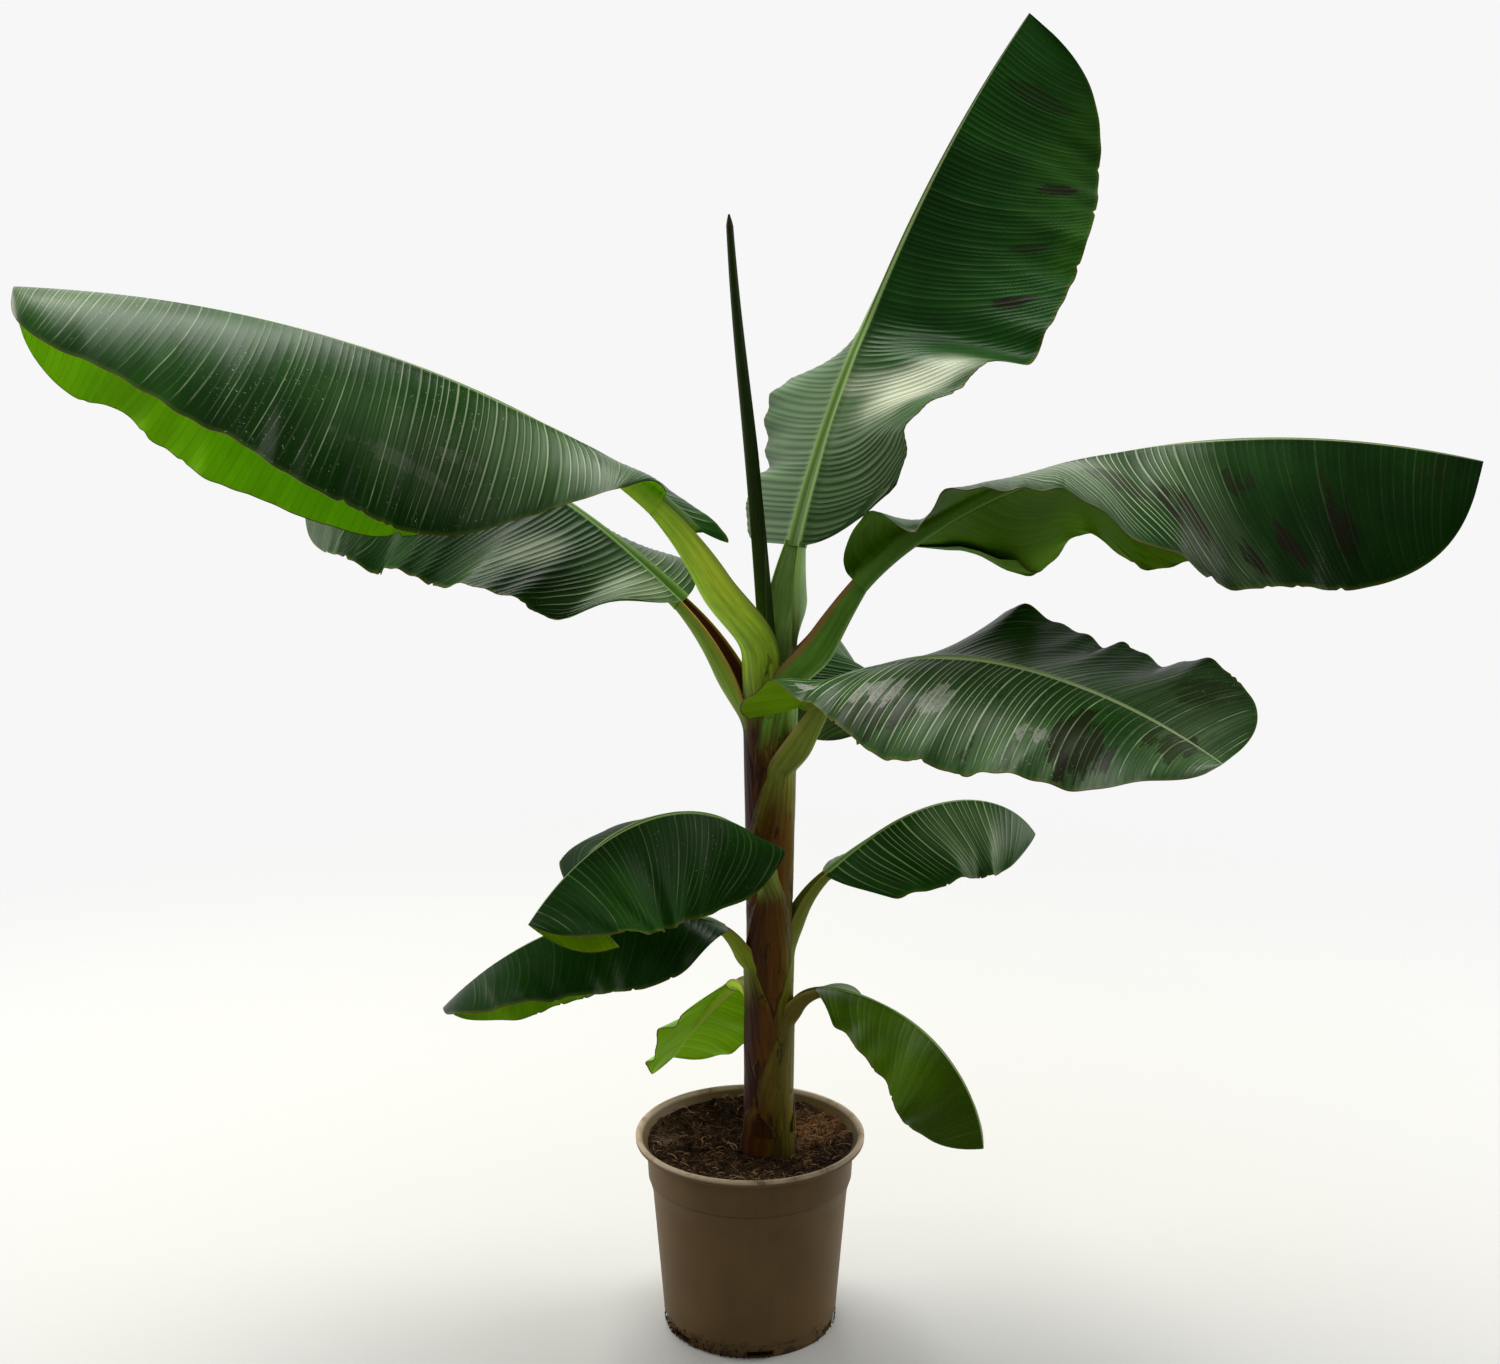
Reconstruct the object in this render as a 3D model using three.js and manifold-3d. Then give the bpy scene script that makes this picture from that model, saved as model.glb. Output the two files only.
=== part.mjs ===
import * as THREE from 'three';
import { mergeVertices } from 'three/addons/utils/BufferGeometryUtils.js';
import Module from 'manifold-3d';

// A potted banana plant: a nursery pot with its soil, a pseudostem of wrapped sheaths, a rolled new
// leaf, and eleven open leaves, each a channelled petiole and a blade that folds along its midrib.
// Millimetres, +Z up, origin under the middle of the pot.

const gap = 0.35; // clearance between pieces that touch
const sliver = 0.02; // detail finer than this is dropped from a cut piece
const weld = 0.001; // vertices closer than this are one

const pot = {
  height: 240,
  baseRadius: 102,
  baseRingHeight: 12,
  baseRingInset: 1.2,
  bodyTopRadius: 115.5,
  bodyTop: 172,
  collarFoot: 188,
  collarFootRadius: 120.5,
  collarTopRadius: 122.5,
  lipHeight: 8,
  lipRadius: 135.5,
  lipRound: 2,
  wall: 3,
  floor: 6,
  sides: 44,
  drains: 6,
  drainWidth: 31,
  drainHeight: 7,
  drainDepth: 16,
};

const soil = { top: 214, edgeRise: 4, flatRadius: 84 };

const stem = {
  x: 22,
  radius: 25,
  flare: 8,
  flareHeight: 80,
  crownSwell: 2,
  crownStart: 690,
  top: 806,
  crownRound: 16,
  crownEnd: 0.55, // of the radius
  sheathFlute: 0.03,
  sheathTurn: 0.006,
  sides: 20,
  rings: 18,
};

const spear = {
  length: 495,
  baseRadius: 10.5,
  tipRadius: 4,
  taper: 1.3,
  lean: 5.1,
  leanAzimuth: 180,
  sides: 10,
  rings: 10,
};

// What most leaves share: the length of the sleeve on the stem and its span each way in degrees, the lobes'
// feet as shares of the blade, and the width at the base against the widest
const usualLeaf = {
  sleeve: 62,
  span: 60,
  turn: 0,
  sweep: 0,
  roll: 0,
  twist: 0,
  leftFoot: 0.12,
  rightFoot: 0.12,
  baseWidth: 0.8,
  stations: 12,
};

// The leaves, youngest first. A petiole leaves the stem at height attach towards azimuth, swings by turn,
// and its slope goes from rise to lift. The blade goes on to the slope droop, bending early where bend is
// under 1, and swings by sweep. Each half hangs below flat by an angle given at shares of the blade, and
// curls by leftCurl or rightCurl more from midrib to margin. A wave has a height, a count and a start.
// Angles are in degrees.
const leaves = [
  {
    name: 'top', attach: 826, azimuth: 42, petiole: 112, rise: 90, lift: 72,
    blade: 710, droop: 45, bend: 0.85, width: 430, stations: 18, wave: [7, 4, 0.1],
    left: [[0, 25], [0.26, 12], [0.48, 55], [1, 70]], leftCurl: 6,
    right: [[0, -22], [0.24, 0], [0.45, 38], [1, 70]], rightCurl: -15,
  },
  {
    name: 'upper_left', attach: 812, azimuth: 193, petiole: 215, rise: 74, lift: 43,
    blade: 707, droop: 3, bend: 0.72, width: 400, roll: 10, twist: 10, stations: 18, wave: [6, 5, 0],
    left: [[0, -20], [0.3, 46], [1, 15]], leftCurl: 50,
    right: [[0, -25], [0.3, 76], [1, 30]], rightCurl: 25, rightFoot: 0.02, baseWidth: 0.5,
  },
  {
    name: 'upper_right', attach: 772, azimuth: 351, petiole: 155, rise: 64, lift: 51,
    blade: 700, droop: -12, bend: 0.64, width: 385, sweep: -3, twist: 10, stations: 18, wave: [8, 4, 0],
    left: [[0, -15], [0.3, 33], [1, 55]], leftCurl: 25,
    right: [[0, -36], [0.24, -12], [0.58, 30], [1, 55]], rightCurl: 15,
  },
  {
    name: 'second_left', attach: 724, azimuth: 158, petiole: 176, rise: 75, lift: 40,
    blade: 560, droop: -47, bend: 1.86, width: 370, sweep: 2, twist: -30, stations: 16, wave: [10, 4, 0],
    left: [[0, 5], [0.3, 20], [1, 40]], leftCurl: 5,
    right: [[0, -18], [0.3, 32], [1, 40]], rightCurl: 30,
  },
  {
    name: 'middle_right', attach: 679, span: 52, azimuth: 321, petiole: 120, rise: 60, lift: 52,
    blade: 500, droop: -27, bend: 0.52, width: 350, sweep: 3, twist: -20, stations: 16, wave: [8, 4, 0],
    left: [[0, 10], [0.18, 2], [0.36, -13], [0.55, -8], [1, -32]], leftCurl: -5,
    right: [[0, -35], [0.22, 22], [0.5, 16], [1, 20]], rightCurl: 40,
  },
  {
    name: 'back', attach: 622, span: 46, azimuth: 72, petiole: 130, rise: 75, lift: 50,
    blade: 420, droop: -88, bend: 1, width: 250, wave: [8, 3, 0.2],
    left: [[0, 10], [0.3, 50], [1, 50]], leftCurl: 20,
    right: [[0, 10], [0.3, 45], [1, 50]], rightCurl: 20,
  },
  {
    name: 'front_left', attach: 505, sleeve: 42, span: 42, azimuth: 274, turn: -50, petiole: 70, rise: 85,
    lift: 60, blade: 385, droop: -45, bend: 0.74, width: 240, sweep: 2, wave: [4, 4, 0],
    left: [[0, -10], [0.3, 60], [1, 10]], leftCurl: 27,
    right: [[0, -40], [0.3, -14], [0.5, 8], [1, 60]], rightCurl: 28,
  },
  {
    name: 'lower_right', attach: 454, sleeve: 30, span: 46, azimuth: 14, petiole: 115, rise: 88, lift: 38,
    blade: 300, droop: -58, bend: 1.92, width: 215, sweep: 2, wave: [4, 4, 0],
    left: [[0, 5], [0.3, 40], [1, 40]], leftCurl: 30,
    right: [[0, 20], [0.3, 24], [1, 40]], rightCurl: 22,
  },
  {
    name: 'lower_left', attach: 443, sleeve: 42, span: 46, azimuth: 197, petiole: 67, rise: 75, lift: 37,
    blade: 359, droop: -44, bend: 0.72, width: 185, roll: 8, twist: 8, stations: 16, wave: [4, 4, 0],
    left: [[0, 5], [0.3, 56], [1, -10]], leftCurl: 28,
    right: [[0, -10], [0.34, 68], [1, 20]], rightCurl: 22,
  },
  {
    name: 'small_back', attach: 395, span: 46, azimuth: 126, petiole: 74, rise: 53, lift: -45,
    blade: 186, droop: -51, bend: 1, width: 150, stations: 10, wave: [3, 3, 0],
    left: [[0, 5], [0.3, -10], [1, 30]], leftCurl: 20,
    right: [[0, 10], [0.3, 22], [1, 15]], rightCurl: 18,
  },
  {
    name: 'lowest_right', attach: 371, span: 46, azimuth: 338, petiole: 77, rise: 88, lift: 13,
    blade: 293, droop: -85, bend: 0.85, width: 178, sweep: 7, twist: 12, wave: [4, 4, 0],
    left: [[0, 5], [0.3, 38], [0.6, 20], [1, 0]], leftCurl: 10,
    right: [[0, -15], [0.3, 5], [1, 60]], rightCurl: 20,
  },
].map((leaf) => ({ ...usualLeaf, ...leaf }));

const bladeShape = {
  seat: 0.7, // past the petiole's end
  thicknessShare: 0.01, // of the blade's length
  leastThickness: 4,
  columns: 8,
  columnsToRib: 1.7, // columns crowd towards the midrib
  stationsToTip: 1.6, // stations crowd towards the tip
  widestAt: 0.42,
  tipPower: 2.4,
  tipRound: 0.4,
  tipWidth: 0.03,
  tipVein: 0.5,
  lastHang: 0.999,
  wavePower: 1.6,
  rightWaveShift: 0.37,
  waveAtBase: 0.2,
  waveGrowth: 5, // from the base
  waveLoss: 4, // towards the tip
  ribWidth: 0.09,
  ribDepthShare: 0.7, // of the stalk's depth
  foldRound: 2, // thicknesses over which the fold at the midrib is rounded
};

// A petiole starts as a sleeve part of the way round the stem and narrows to a deeply channelled stalk
const petioleShape = {
  startDepth: 0.6, // of the stem's radius, out from its axis
  footWall: 1.4,
  sleeveWall: 4,
  settle: 0.22, // of the petiole, where it swings away from the upright
  sleeveEnd: 0.5, // of the petiole, where the sleeve has become the stalk
  footWidth: 25,
  tipWidthShare: 0.022, // of the blade's length
  leastTipWidth: 7.5,
  mostSpread: 2, // the stalk's width at its foot against its tip
  depthShare: 1.8, // of the stalk's half width
  footRim: 0.5, // of the depth, the margins' height over the leaf's line
  tipRim: 0.2,
  channelFloor: 0.45, // of the depth
  edge: 1.2, // thickness of the channel's margins
  clearance: 0.6, // kept free round a petiole by the pieces beside it
  columns: 8,
  rings: 12,
};

const pathSteps = 60;

// Small helpers
const radians = THREE.MathUtils.degToRad;
const mix = THREE.MathUtils.lerp;
const smooth = (value) => THREE.MathUtils.smoothstep(value, 0, 1);

function heading(azimuth, slope) {
  const flat = Math.cos(radians(slope));
  const turned = radians(azimuth);
  return new THREE.Vector3(flat * Math.cos(turned), flat * Math.sin(turned), Math.sin(radians(slope)));
}

function stemRadius(height) {
  const flare = stem.flare * Math.exp(-(height - soil.top) / stem.flareHeight);
  const swell = stem.crownSwell * smooth((height - stem.crownStart) / (stem.top - stem.crownStart));
  return stem.radius + flare + swell;
}

// Solids to join and cut
const wasm = await Module();
wasm.setup();

function solidOf(geometry) {
  const bare = geometry.clone();
  bare.deleteAttribute('normal');
  bare.deleteAttribute('uv');
  const merged = mergeVertices(bare, weld);
  const corners = merged.index.array;
  const kept = [];
  for (let i = 0; i < corners.length; i += 3) {
    const [a, b, c] = corners.slice(i, i + 3);
    if (a !== b && b !== c && a !== c) kept.push(a, b, c);
  }
  const vertProperties = new Float32Array(merged.attributes.position.array);
  return new wasm.Manifold(new wasm.Mesh({ numProp: 3, vertProperties, triVerts: new Uint32Array(kept) }));
}

function geometryOf(solid) {
  const mesh = solid.getMesh();
  const geometry = new THREE.BufferGeometry();
  geometry.setAttribute('position', new THREE.BufferAttribute(mesh.vertProperties, 3));
  geometry.setIndex(new THREE.BufferAttribute(mesh.triVerts, 1));
  geometry.computeVertexNormals();
  return geometry;
}

function largestPiece(solid) {
  return solid.decompose().reduce((best, piece) => (piece.volume() > best.volume() ? piece : best));
}

function carve(solid, cutters) {
  const left = cutters.reduce((rest, cutter) => rest.subtract(cutter), solid);
  return largestPiece(left.asOriginal().simplify(sliver));
}

// Moves every vertex of a geometry by a rule from its own place
function reshape(geometry, place) {
  const position = geometry.attributes.position;
  const vertex = new THREE.Vector3();
  for (let i = 0; i < position.count; i++) {
    const moved = place(vertex.fromBufferAttribute(position, i));
    position.setXYZ(i, moved.x, moved.y, moved.z);
  }
  return geometry;
}

// Pot and soil
function lathe(profile) {
  const points = profile.map(([radius, height]) => new THREE.Vector2(radius, height));
  return new THREE.LatheGeometry(points, pot.sides).rotateX(Math.PI / 2);
}

function bodyRadius(height) {
  return mix(pot.baseRadius, pot.bodyTopRadius, height / pot.bodyTop);
}

function potGeometry() {
  const lipFoot = pot.height - pot.lipHeight;
  const ringTop = pot.baseRingHeight;
  const round = pot.lipRound;
  const mouth = pot.collarTopRadius + pot.wall;
  const profile = [
    [0, 0],
    [pot.baseRadius - pot.baseRingInset, 0],
    [bodyRadius(ringTop) - pot.baseRingInset, ringTop],
    [bodyRadius(ringTop), ringTop + round],
    [pot.bodyTopRadius, pot.bodyTop],
    [pot.collarFootRadius, pot.collarFoot],
    [pot.collarTopRadius, lipFoot],
    [pot.lipRadius - round, lipFoot],
    [pot.lipRadius, lipFoot + round],
    [pot.lipRadius, pot.height - round],
    [pot.lipRadius - round, pot.height],
    [mouth, pot.height],
    [pot.collarTopRadius - pot.wall, lipFoot],
    [pot.collarFootRadius - pot.wall, pot.collarFoot],
    [pot.bodyTopRadius - pot.wall, pot.bodyTop],
    [bodyRadius(pot.floor) - pot.wall, pot.floor],
    [0, pot.floor],
  ];
  const notches = [];
  for (let i = 0; i < pot.drains; i++) {
    const notch = new THREE.BoxGeometry(pot.drainWidth, pot.drainDepth, pot.drainHeight * 2);
    notch.translate(0, -pot.baseRadius, 0);
    notch.rotateZ((i * 2 * Math.PI) / pot.drains);
    notches.push(solidOf(notch));
  }
  return geometryOf(carve(solidOf(lathe(profile)), notches));
}

function soilGeometry() {
  const inside = pot.wall + gap;
  const slope = (soil.top - pot.collarFoot) / (pot.height - pot.lipHeight - pot.collarFoot);
  const topRadius = mix(pot.collarFootRadius, pot.collarTopRadius, slope) - inside;
  return lathe([
    [0, pot.floor + gap],
    [bodyRadius(pot.floor) - inside, pot.floor + gap],
    [pot.bodyTopRadius - inside, pot.bodyTop],
    [pot.collarFootRadius - inside, pot.collarFoot],
    [topRadius, soil.top + soil.edgeRise],
    [soil.flatRadius, soil.top],
    [0, soil.top],
  ]);
}

// Pseudostem: flared foot, fluted by the sheath edges that wind round it, and a rounded crown
function stemGeometry(extra = 0) {
  const foot = soil.top + gap - extra;
  const blank = new THREE.CylinderGeometry(1, 1, 1, stem.sides, stem.rings);
  return reshape(blank, (v) => {
    const height = mix(foot, stem.top + extra, v.y + 0.5);
    const around = Math.atan2(v.z, v.x);
    const reach = Math.hypot(v.x, v.z);
    const shoulder = THREE.MathUtils.clamp((stem.top - height) / stem.crownRound, 0, 1);
    const crown = mix(stem.crownEnd, 1, Math.sqrt(shoulder));
    const flute = 1 - stem.sheathFlute * (1 + Math.cos(2 * around + stem.sheathTurn * height));
    const radius = reach * (stemRadius(height) * crown * flute + extra);
    return new THREE.Vector3(stem.x + radius * Math.cos(around), -radius * Math.sin(around), height);
  });
}

// Rolled new leaf: a slim cone that leans a little, standing on the crown
function spearGeometry(extra = 0) {
  const blank = new THREE.CylinderGeometry(1, 1, 1, spear.sides, spear.rings);
  const lean = heading(spear.leanAzimuth, 90 - spear.lean);
  return reshape(blank, (v) => {
    const share = v.y + 0.5;
    const along = mix(gap - extra, spear.length + extra, share);
    const radius = mix(spear.baseRadius, spear.tipRadius, share ** spear.taper) + extra;
    const axis = new THREE.Vector3(stem.x, 0, stem.top).addScaledVector(lean, along);
    return axis.add(new THREE.Vector3(v.x * radius, -v.z * radius, 0));
  });
}

// A leaf's line from the stem to its tip, by distance from the blade's base: negative on the petiole
function leafPath(leaf) {
  const turned = leaf.azimuth + leaf.turn;
  const start = stemRadius(leaf.attach) * petioleShape.startDepth;
  const point = heading(leaf.azimuth, 0).multiplyScalar(start);
  point.add(new THREE.Vector3(stem.x, 0, leaf.attach - leaf.sleeve));
  const samples = [];
  const walk = (length, aim, from, steps) => {
    for (let i = 0; i <= steps; i++) {
      const [azimuth, slope] = aim(i / steps);
      if (i > 0) {
        const [before, slopeBefore] = aim((i - 0.5) / steps);
        point.addScaledVector(heading(before, slopeBefore), length / steps);
      }
      samples.push({ distance: from + (length * i) / steps, point: point.clone(), azimuth, slope });
    }
  };
  const sleeve = () => [leaf.azimuth, 90];
  const stalk = (u) => {
    const upright = Math.max(0, 1 - u / petioleShape.settle) ** 2;
    return [mix(leaf.azimuth, turned, u), mix(mix(leaf.rise, leaf.lift, u), 90, upright)];
  };
  const arch = (u) => [turned + leaf.sweep * u, mix(leaf.lift, leaf.droop, u ** leaf.bend)];
  walk(leaf.sleeve, sleeve, -leaf.petiole - leaf.sleeve, 1);
  walk(leaf.petiole, stalk, -leaf.petiole, pathSteps);
  walk(leaf.blade, arch, 0, pathSteps);
  return (distance) => {
    const found = samples.findIndex((sample) => sample.distance > distance);
    const next = found < 0 ? samples.length - 1 : Math.max(found, 1);
    const a = samples[next - 1];
    const b = samples[next];
    const share = (distance - a.distance) / (b.distance - a.distance);
    const azimuth = mix(a.azimuth, b.azimuth, share);
    const along = heading(azimuth, mix(a.slope, b.slope, share));
    const left = heading(azimuth + 90, 0);
    const up = along.clone().cross(left);
    return { point: a.point.clone().lerp(b.point, share), along, left, up };
  };
}

// Half the stalk's width where the blade begins
function stalkTip(leaf) {
  return Math.max(leaf.blade * petioleShape.tipWidthShare, petioleShape.leastTipWidth);
}

// Petiole: a sleeve on the stem at its foot, a channelled stalk at the blade
function petioleGeometry(leaf, path, extra = 0) {
  const blank = new THREE.BoxGeometry(2, 1, 1, petioleShape.columns, petioleShape.rings, 1);
  const { footWidth, footRim, tipRim, depthShare, channelFloor, mostSpread, edge } = petioleShape;
  const tipWidth = stalkTip(leaf);
  const footReach = Math.min(footWidth, tipWidth * mostSpread);
  const foot = -leaf.petiole - leaf.sleeve;
  return reshape(blank, (v) => {
    const outside = v.z < 0;
    const distance = mix(foot - extra, extra, v.y + 0.5);
    const line = path(distance);
    const climbed = THREE.MathUtils.clamp(1 + distance / leaf.petiole, 0, 1);
    const opened = smooth(climbed / petioleShape.sleeveEnd);
    const stemHere = stemRadius(Math.min(line.point.z, leaf.attach));
    const sleeved = THREE.MathUtils.clamp((distance - foot) / leaf.sleeve, 0, 1);
    const wall = mix(petioleShape.footWall, petioleShape.sleeveWall, sleeved);
    const shell = outside ? stemHere + wall + extra : stemHere + gap - extra;
    const around = v.x * (radians(leaf.span) + extra / stemHere);
    const inward = stemHere * petioleShape.startDepth;
    const width = mix(footReach, tipWidth, climbed);
    const depth = width * depthShare;
    const rim = depth * mix(footRim, tipRim, climbed) + extra;
    const half = outside ? width + extra : width - edge - extra;
    const deep = outside ? depth + 2 * extra : depth * (1 - channelFloor);
    const turned = (v.x * Math.PI) / 2;
    const right = mix(Math.sin(around) * shell, Math.sin(turned) * half, opened);
    const up = mix(inward - Math.cos(around) * shell, rim - Math.cos(turned) * deep, opened);
    return line.point.addScaledVector(line.left, -right).addScaledVector(line.up, up);
  });
}

// The hang at a share of the blade, eased from one given angle to the next
function hangAngle(angles, share) {
  const next = Math.max(angles.findIndex(([at]) => at > share), 1);
  const [from, hangFrom] = angles[next - 1];
  const [to, hangTo] = angles[next];
  return radians(mix(hangFrom, hangTo, smooth((share - from) / (to - from))));
}

function widthShare(share, baseWidth) {
  const { widestAt, tipPower, tipRound, tipWidth } = bladeShape;
  if (share < widestAt) return mix(baseWidth, 1, smooth(share / widestAt));
  const beyond = Math.min((share - widestAt) / (1 - widestAt), 1);
  return Math.max((1 - beyond ** tipPower) ** tipRound, tipWidth);
}

// A point of the blade and the way its face looks. Along runs base to tip down a vein's own start on the
// midrib, across runs from the right margin, -1, to the left one, 1.
function bladePoint(leaf, path, along, across) {
  const side = Math.sign(across);
  const out = Math.abs(across);
  const angles = side < 0 ? leaf.right : leaf.left;
  const foot = side < 0 ? leaf.rightFoot : leaf.leftFoot;
  const lean = mix(foot, bladeShape.tipVein, along);
  const share = 1 - (1 - along) * (1 - lean * out ** 2);
  const line = path(share * leaf.blade + bladeShape.seat);
  const roll = radians(leaf.roll + leaf.twist * share);
  const left = line.left.clone().multiplyScalar(Math.cos(roll)).addScaledVector(line.up, Math.sin(roll));
  const up = line.up.clone().multiplyScalar(Math.cos(roll)).addScaledVector(line.left, -Math.sin(roll));
  const half = (leaf.width / 2) * widthShare(share, leaf.baseWidth);
  const hang = hangAngle(angles, Math.min(share, bladeShape.lastHang));
  const curl = radians(side < 0 ? leaf.rightCurl : leaf.leftCurl);
  const tilt = hang + curl * out;
  const sideways = ((Math.sin(tilt) - Math.sin(hang)) / curl) * half * side;
  const drop = ((Math.cos(hang) - Math.cos(tilt)) / curl) * half;
  const normal = up.clone().multiplyScalar(Math.cos(tilt)).addScaledVector(left, side * Math.sin(tilt));
  const [height, count, start] = leaf.wave;
  const phase = count * share + start + (side < 0 ? bladeShape.rightWaveShift : 0);
  const growth = Math.min(1, share * bladeShape.waveGrowth + bladeShape.waveAtBase);
  const fade = Math.min(1, (1 - share) * bladeShape.waveLoss) * growth;
  const wave = height * out ** bladeShape.wavePower * fade * Math.sin(2 * Math.PI * phase);
  const point = line.point.addScaledVector(left, sideways).addScaledVector(up, -drop);
  return { point: point.addScaledVector(normal, wave), normal, up, reach: half * out };
}

// A box whose under side is split along the same diagonals as its upper side, so a thin slab can warp
function slab(columns, rows) {
  const box = new THREE.BoxGeometry(2, 1, 1, columns, rows, 1);
  const { start, count } = box.groups.at(-1);
  const corners = box.index.array;
  for (let i = start; i < start + count; i += 6) {
    const [a, b, d, , c] = corners.slice(i, i + 6);
    corners.set([a, b, c, a, c, d], i);
  }
  return box;
}

// Blade: a slab that follows the leaf's surface, with the midrib standing out underneath
function bladeGeometry(leaf, path) {
  const thickness = Math.max(leaf.blade * bladeShape.thicknessShare, bladeShape.leastThickness);
  const ribDepth = stalkTip(leaf) * petioleShape.depthShare * bladeShape.ribDepthShare;
  return reshape(slab(bladeShape.columns, leaf.stations), (v) => {
    const along = 1 - (0.5 - v.y) ** bladeShape.stationsToTip;
    const across = -Math.sign(v.x) * Math.abs(v.x) ** bladeShape.columnsToRib;
    const { point, normal, up, reach } = bladePoint(leaf, path, along, across);
    const face = up.lerp(normal, smooth(reach / (thickness * bladeShape.foldRound))).normalize();
    const ridge = Math.max(0, 1 - Math.abs(across) / bladeShape.ribWidth);
    const rib = v.z < 0 ? ridge * ribDepth * (1 - along) : 0;
    return point.addScaledVector(face, thickness * v.z - rib);
  });
}

// Finishes
const finish = (color, roughness) => new THREE.MeshStandardMaterial({ color, roughness, metalness: 0 });
const finishes = {
  pot: finish('#6b5640', 0.55),
  soil: finish('#35261a', 0.95),
  stem: finish('#5a3a22', 0.6),
  spear: finish('#41602f', 0.5),
  petiole: finish('#7d9a3e', 0.5),
  blade: finish('#2c5a30', 0.45),
};

// Assembly
const plant = new THREE.Group();

function addPiece(name, geometry, material) {
  const mesh = new THREE.Mesh(geometry, material);
  mesh.name = name;
  plant.add(mesh);
}

addPiece('pot', potGeometry(), finishes.pot);
addPiece('soil', soilGeometry(), finishes.soil);
addPiece('pseudostem', stemGeometry(), finishes.stem);
addPiece('spear', spearGeometry(), finishes.spear);

const cutters = [solidOf(stemGeometry(gap)), solidOf(spearGeometry(gap))];
for (const leaf of leaves) {
  const path = leafPath(leaf);
  const petiole = carve(solidOf(petioleGeometry(leaf, path)), cutters);
  addPiece(`petiole_${leaf.name}`, geometryOf(petiole), finishes.petiole);
  cutters.push(solidOf(petioleGeometry(leaf, path, petioleShape.clearance)));
}

for (const leaf of leaves) {
  const blade = carve(solidOf(bladeGeometry(leaf, leafPath(leaf))), cutters);
  addPiece(`blade_${leaf.name}`, geometryOf(blade), finishes.blade);
}

export default plant;
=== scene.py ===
from math import pi, radians

import bpy
import numpy as np
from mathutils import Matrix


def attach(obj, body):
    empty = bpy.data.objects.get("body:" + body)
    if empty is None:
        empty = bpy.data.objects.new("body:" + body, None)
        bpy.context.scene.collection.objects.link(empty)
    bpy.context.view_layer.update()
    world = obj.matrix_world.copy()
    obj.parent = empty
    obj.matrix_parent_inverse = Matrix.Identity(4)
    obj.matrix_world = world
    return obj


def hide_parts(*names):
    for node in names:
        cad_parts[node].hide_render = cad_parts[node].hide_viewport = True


# A potted banana plant, in metres, +Z up, the origin under the middle of the pot.
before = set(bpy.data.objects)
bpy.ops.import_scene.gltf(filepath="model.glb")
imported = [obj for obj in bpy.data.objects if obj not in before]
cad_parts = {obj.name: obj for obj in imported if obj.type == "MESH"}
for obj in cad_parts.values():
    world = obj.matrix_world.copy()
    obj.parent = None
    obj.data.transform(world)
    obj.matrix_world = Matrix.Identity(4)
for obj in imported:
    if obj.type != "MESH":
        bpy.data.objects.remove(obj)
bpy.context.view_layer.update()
scene = bpy.context.scene
print("frame:", len(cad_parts), "nodes")


# Node trees

class Wire:
    # one socket of a node tree: arithmetic on it adds Math nodes
    def __init__(self, tree, socket=None):
        self.tree = tree
        self.socket = socket

    def add(self, kind, settings=None, inputs=None, output=0):
        node = self.tree.nodes.new(kind)
        for name, value in (settings or {}).items():
            setattr(node, name, value)
        for name, value in (inputs or {}).items():
            if isinstance(value, Wire):
                self.tree.links.new(value.socket, node.inputs[name])
            else:
                node.inputs[name].default_value = value
        return Wire(self.tree, node.outputs[output])

    def feed(self, node, name):
        self.tree.links.new(self.socket, node.inputs[name])

    def calc(self, operation, *values):
        return self.add("ShaderNodeMath", {"operation": operation}, dict(enumerate(values)))

    def __add__(self, other):
        return self.calc("ADD", self, other)

    def __sub__(self, other):
        return self.calc("SUBTRACT", self, other)

    def __rsub__(self, other):
        return self.calc("SUBTRACT", other, self)

    def __mul__(self, other):
        return self.calc("MULTIPLY", self, other)

    def __truediv__(self, other):
        return self.calc("DIVIDE", self, other)

    __radd__ = __add__
    __rmul__ = __mul__

    def step(self, low, high):  # eased from 0 at low to 1 at high
        return self.add("ShaderNodeMapRange", {"interpolation_type": "SMOOTHSTEP"},
                        {"Value": self, "From Min": low, "From Max": high})

    def scaled(self, factors):
        return self.add("ShaderNodeVectorMath", {"operation": "MULTIPLY"}, {0: self, 1: factors})

    def shifted(self, amounts):
        return self.add("ShaderNodeVectorMath", {"operation": "ADD"}, {0: self, 1: amounts})

    def length(self):
        return self.add("ShaderNodeVectorMath", {"operation": "LENGTH"}, {0: self}, 1)

    def parts(self):
        node = self.add("ShaderNodeSeparateXYZ", None, {0: self}).socket.node
        return [Wire(self.tree, socket) for socket in node.outputs]

    def noise(self, scale, detail=2.0, roughness=0.5):
        return self.add("ShaderNodeTexNoise", None,
                        {"Vector": self, "Scale": scale, "Detail": detail, "Roughness": roughness})

    def blend(self, first, second):  # two colours, by this factor
        pair = [colour if isinstance(colour, Wire) else (*colour, 1) for colour in (first, second)]
        return self.add("ShaderNodeMix", {"data_type": "RGBA"}, {0: self, 6: pair[0], 7: pair[1]}, 2)

    def shade(self, amount):  # this colour, darker or lighter
        return self.add("ShaderNodeMix", {"data_type": "RGBA", "blend_type": "MULTIPLY"},
                        {0: 1.0, 6: self, 7: amount}, 2)


def newFinish(name, specular):
    material = bpy.data.materials.new(name)
    material.use_nodes = True
    shader = material.node_tree.nodes["Principled BSDF"]
    shader.inputs["Specular IOR Level"].default_value = specular
    return material, Wire(material.node_tree), shader


def attribute(wire, name, output="Vector"):
    return wire.add("ShaderNodeAttribute", {"attribute_name": name}, None, output)


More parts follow.
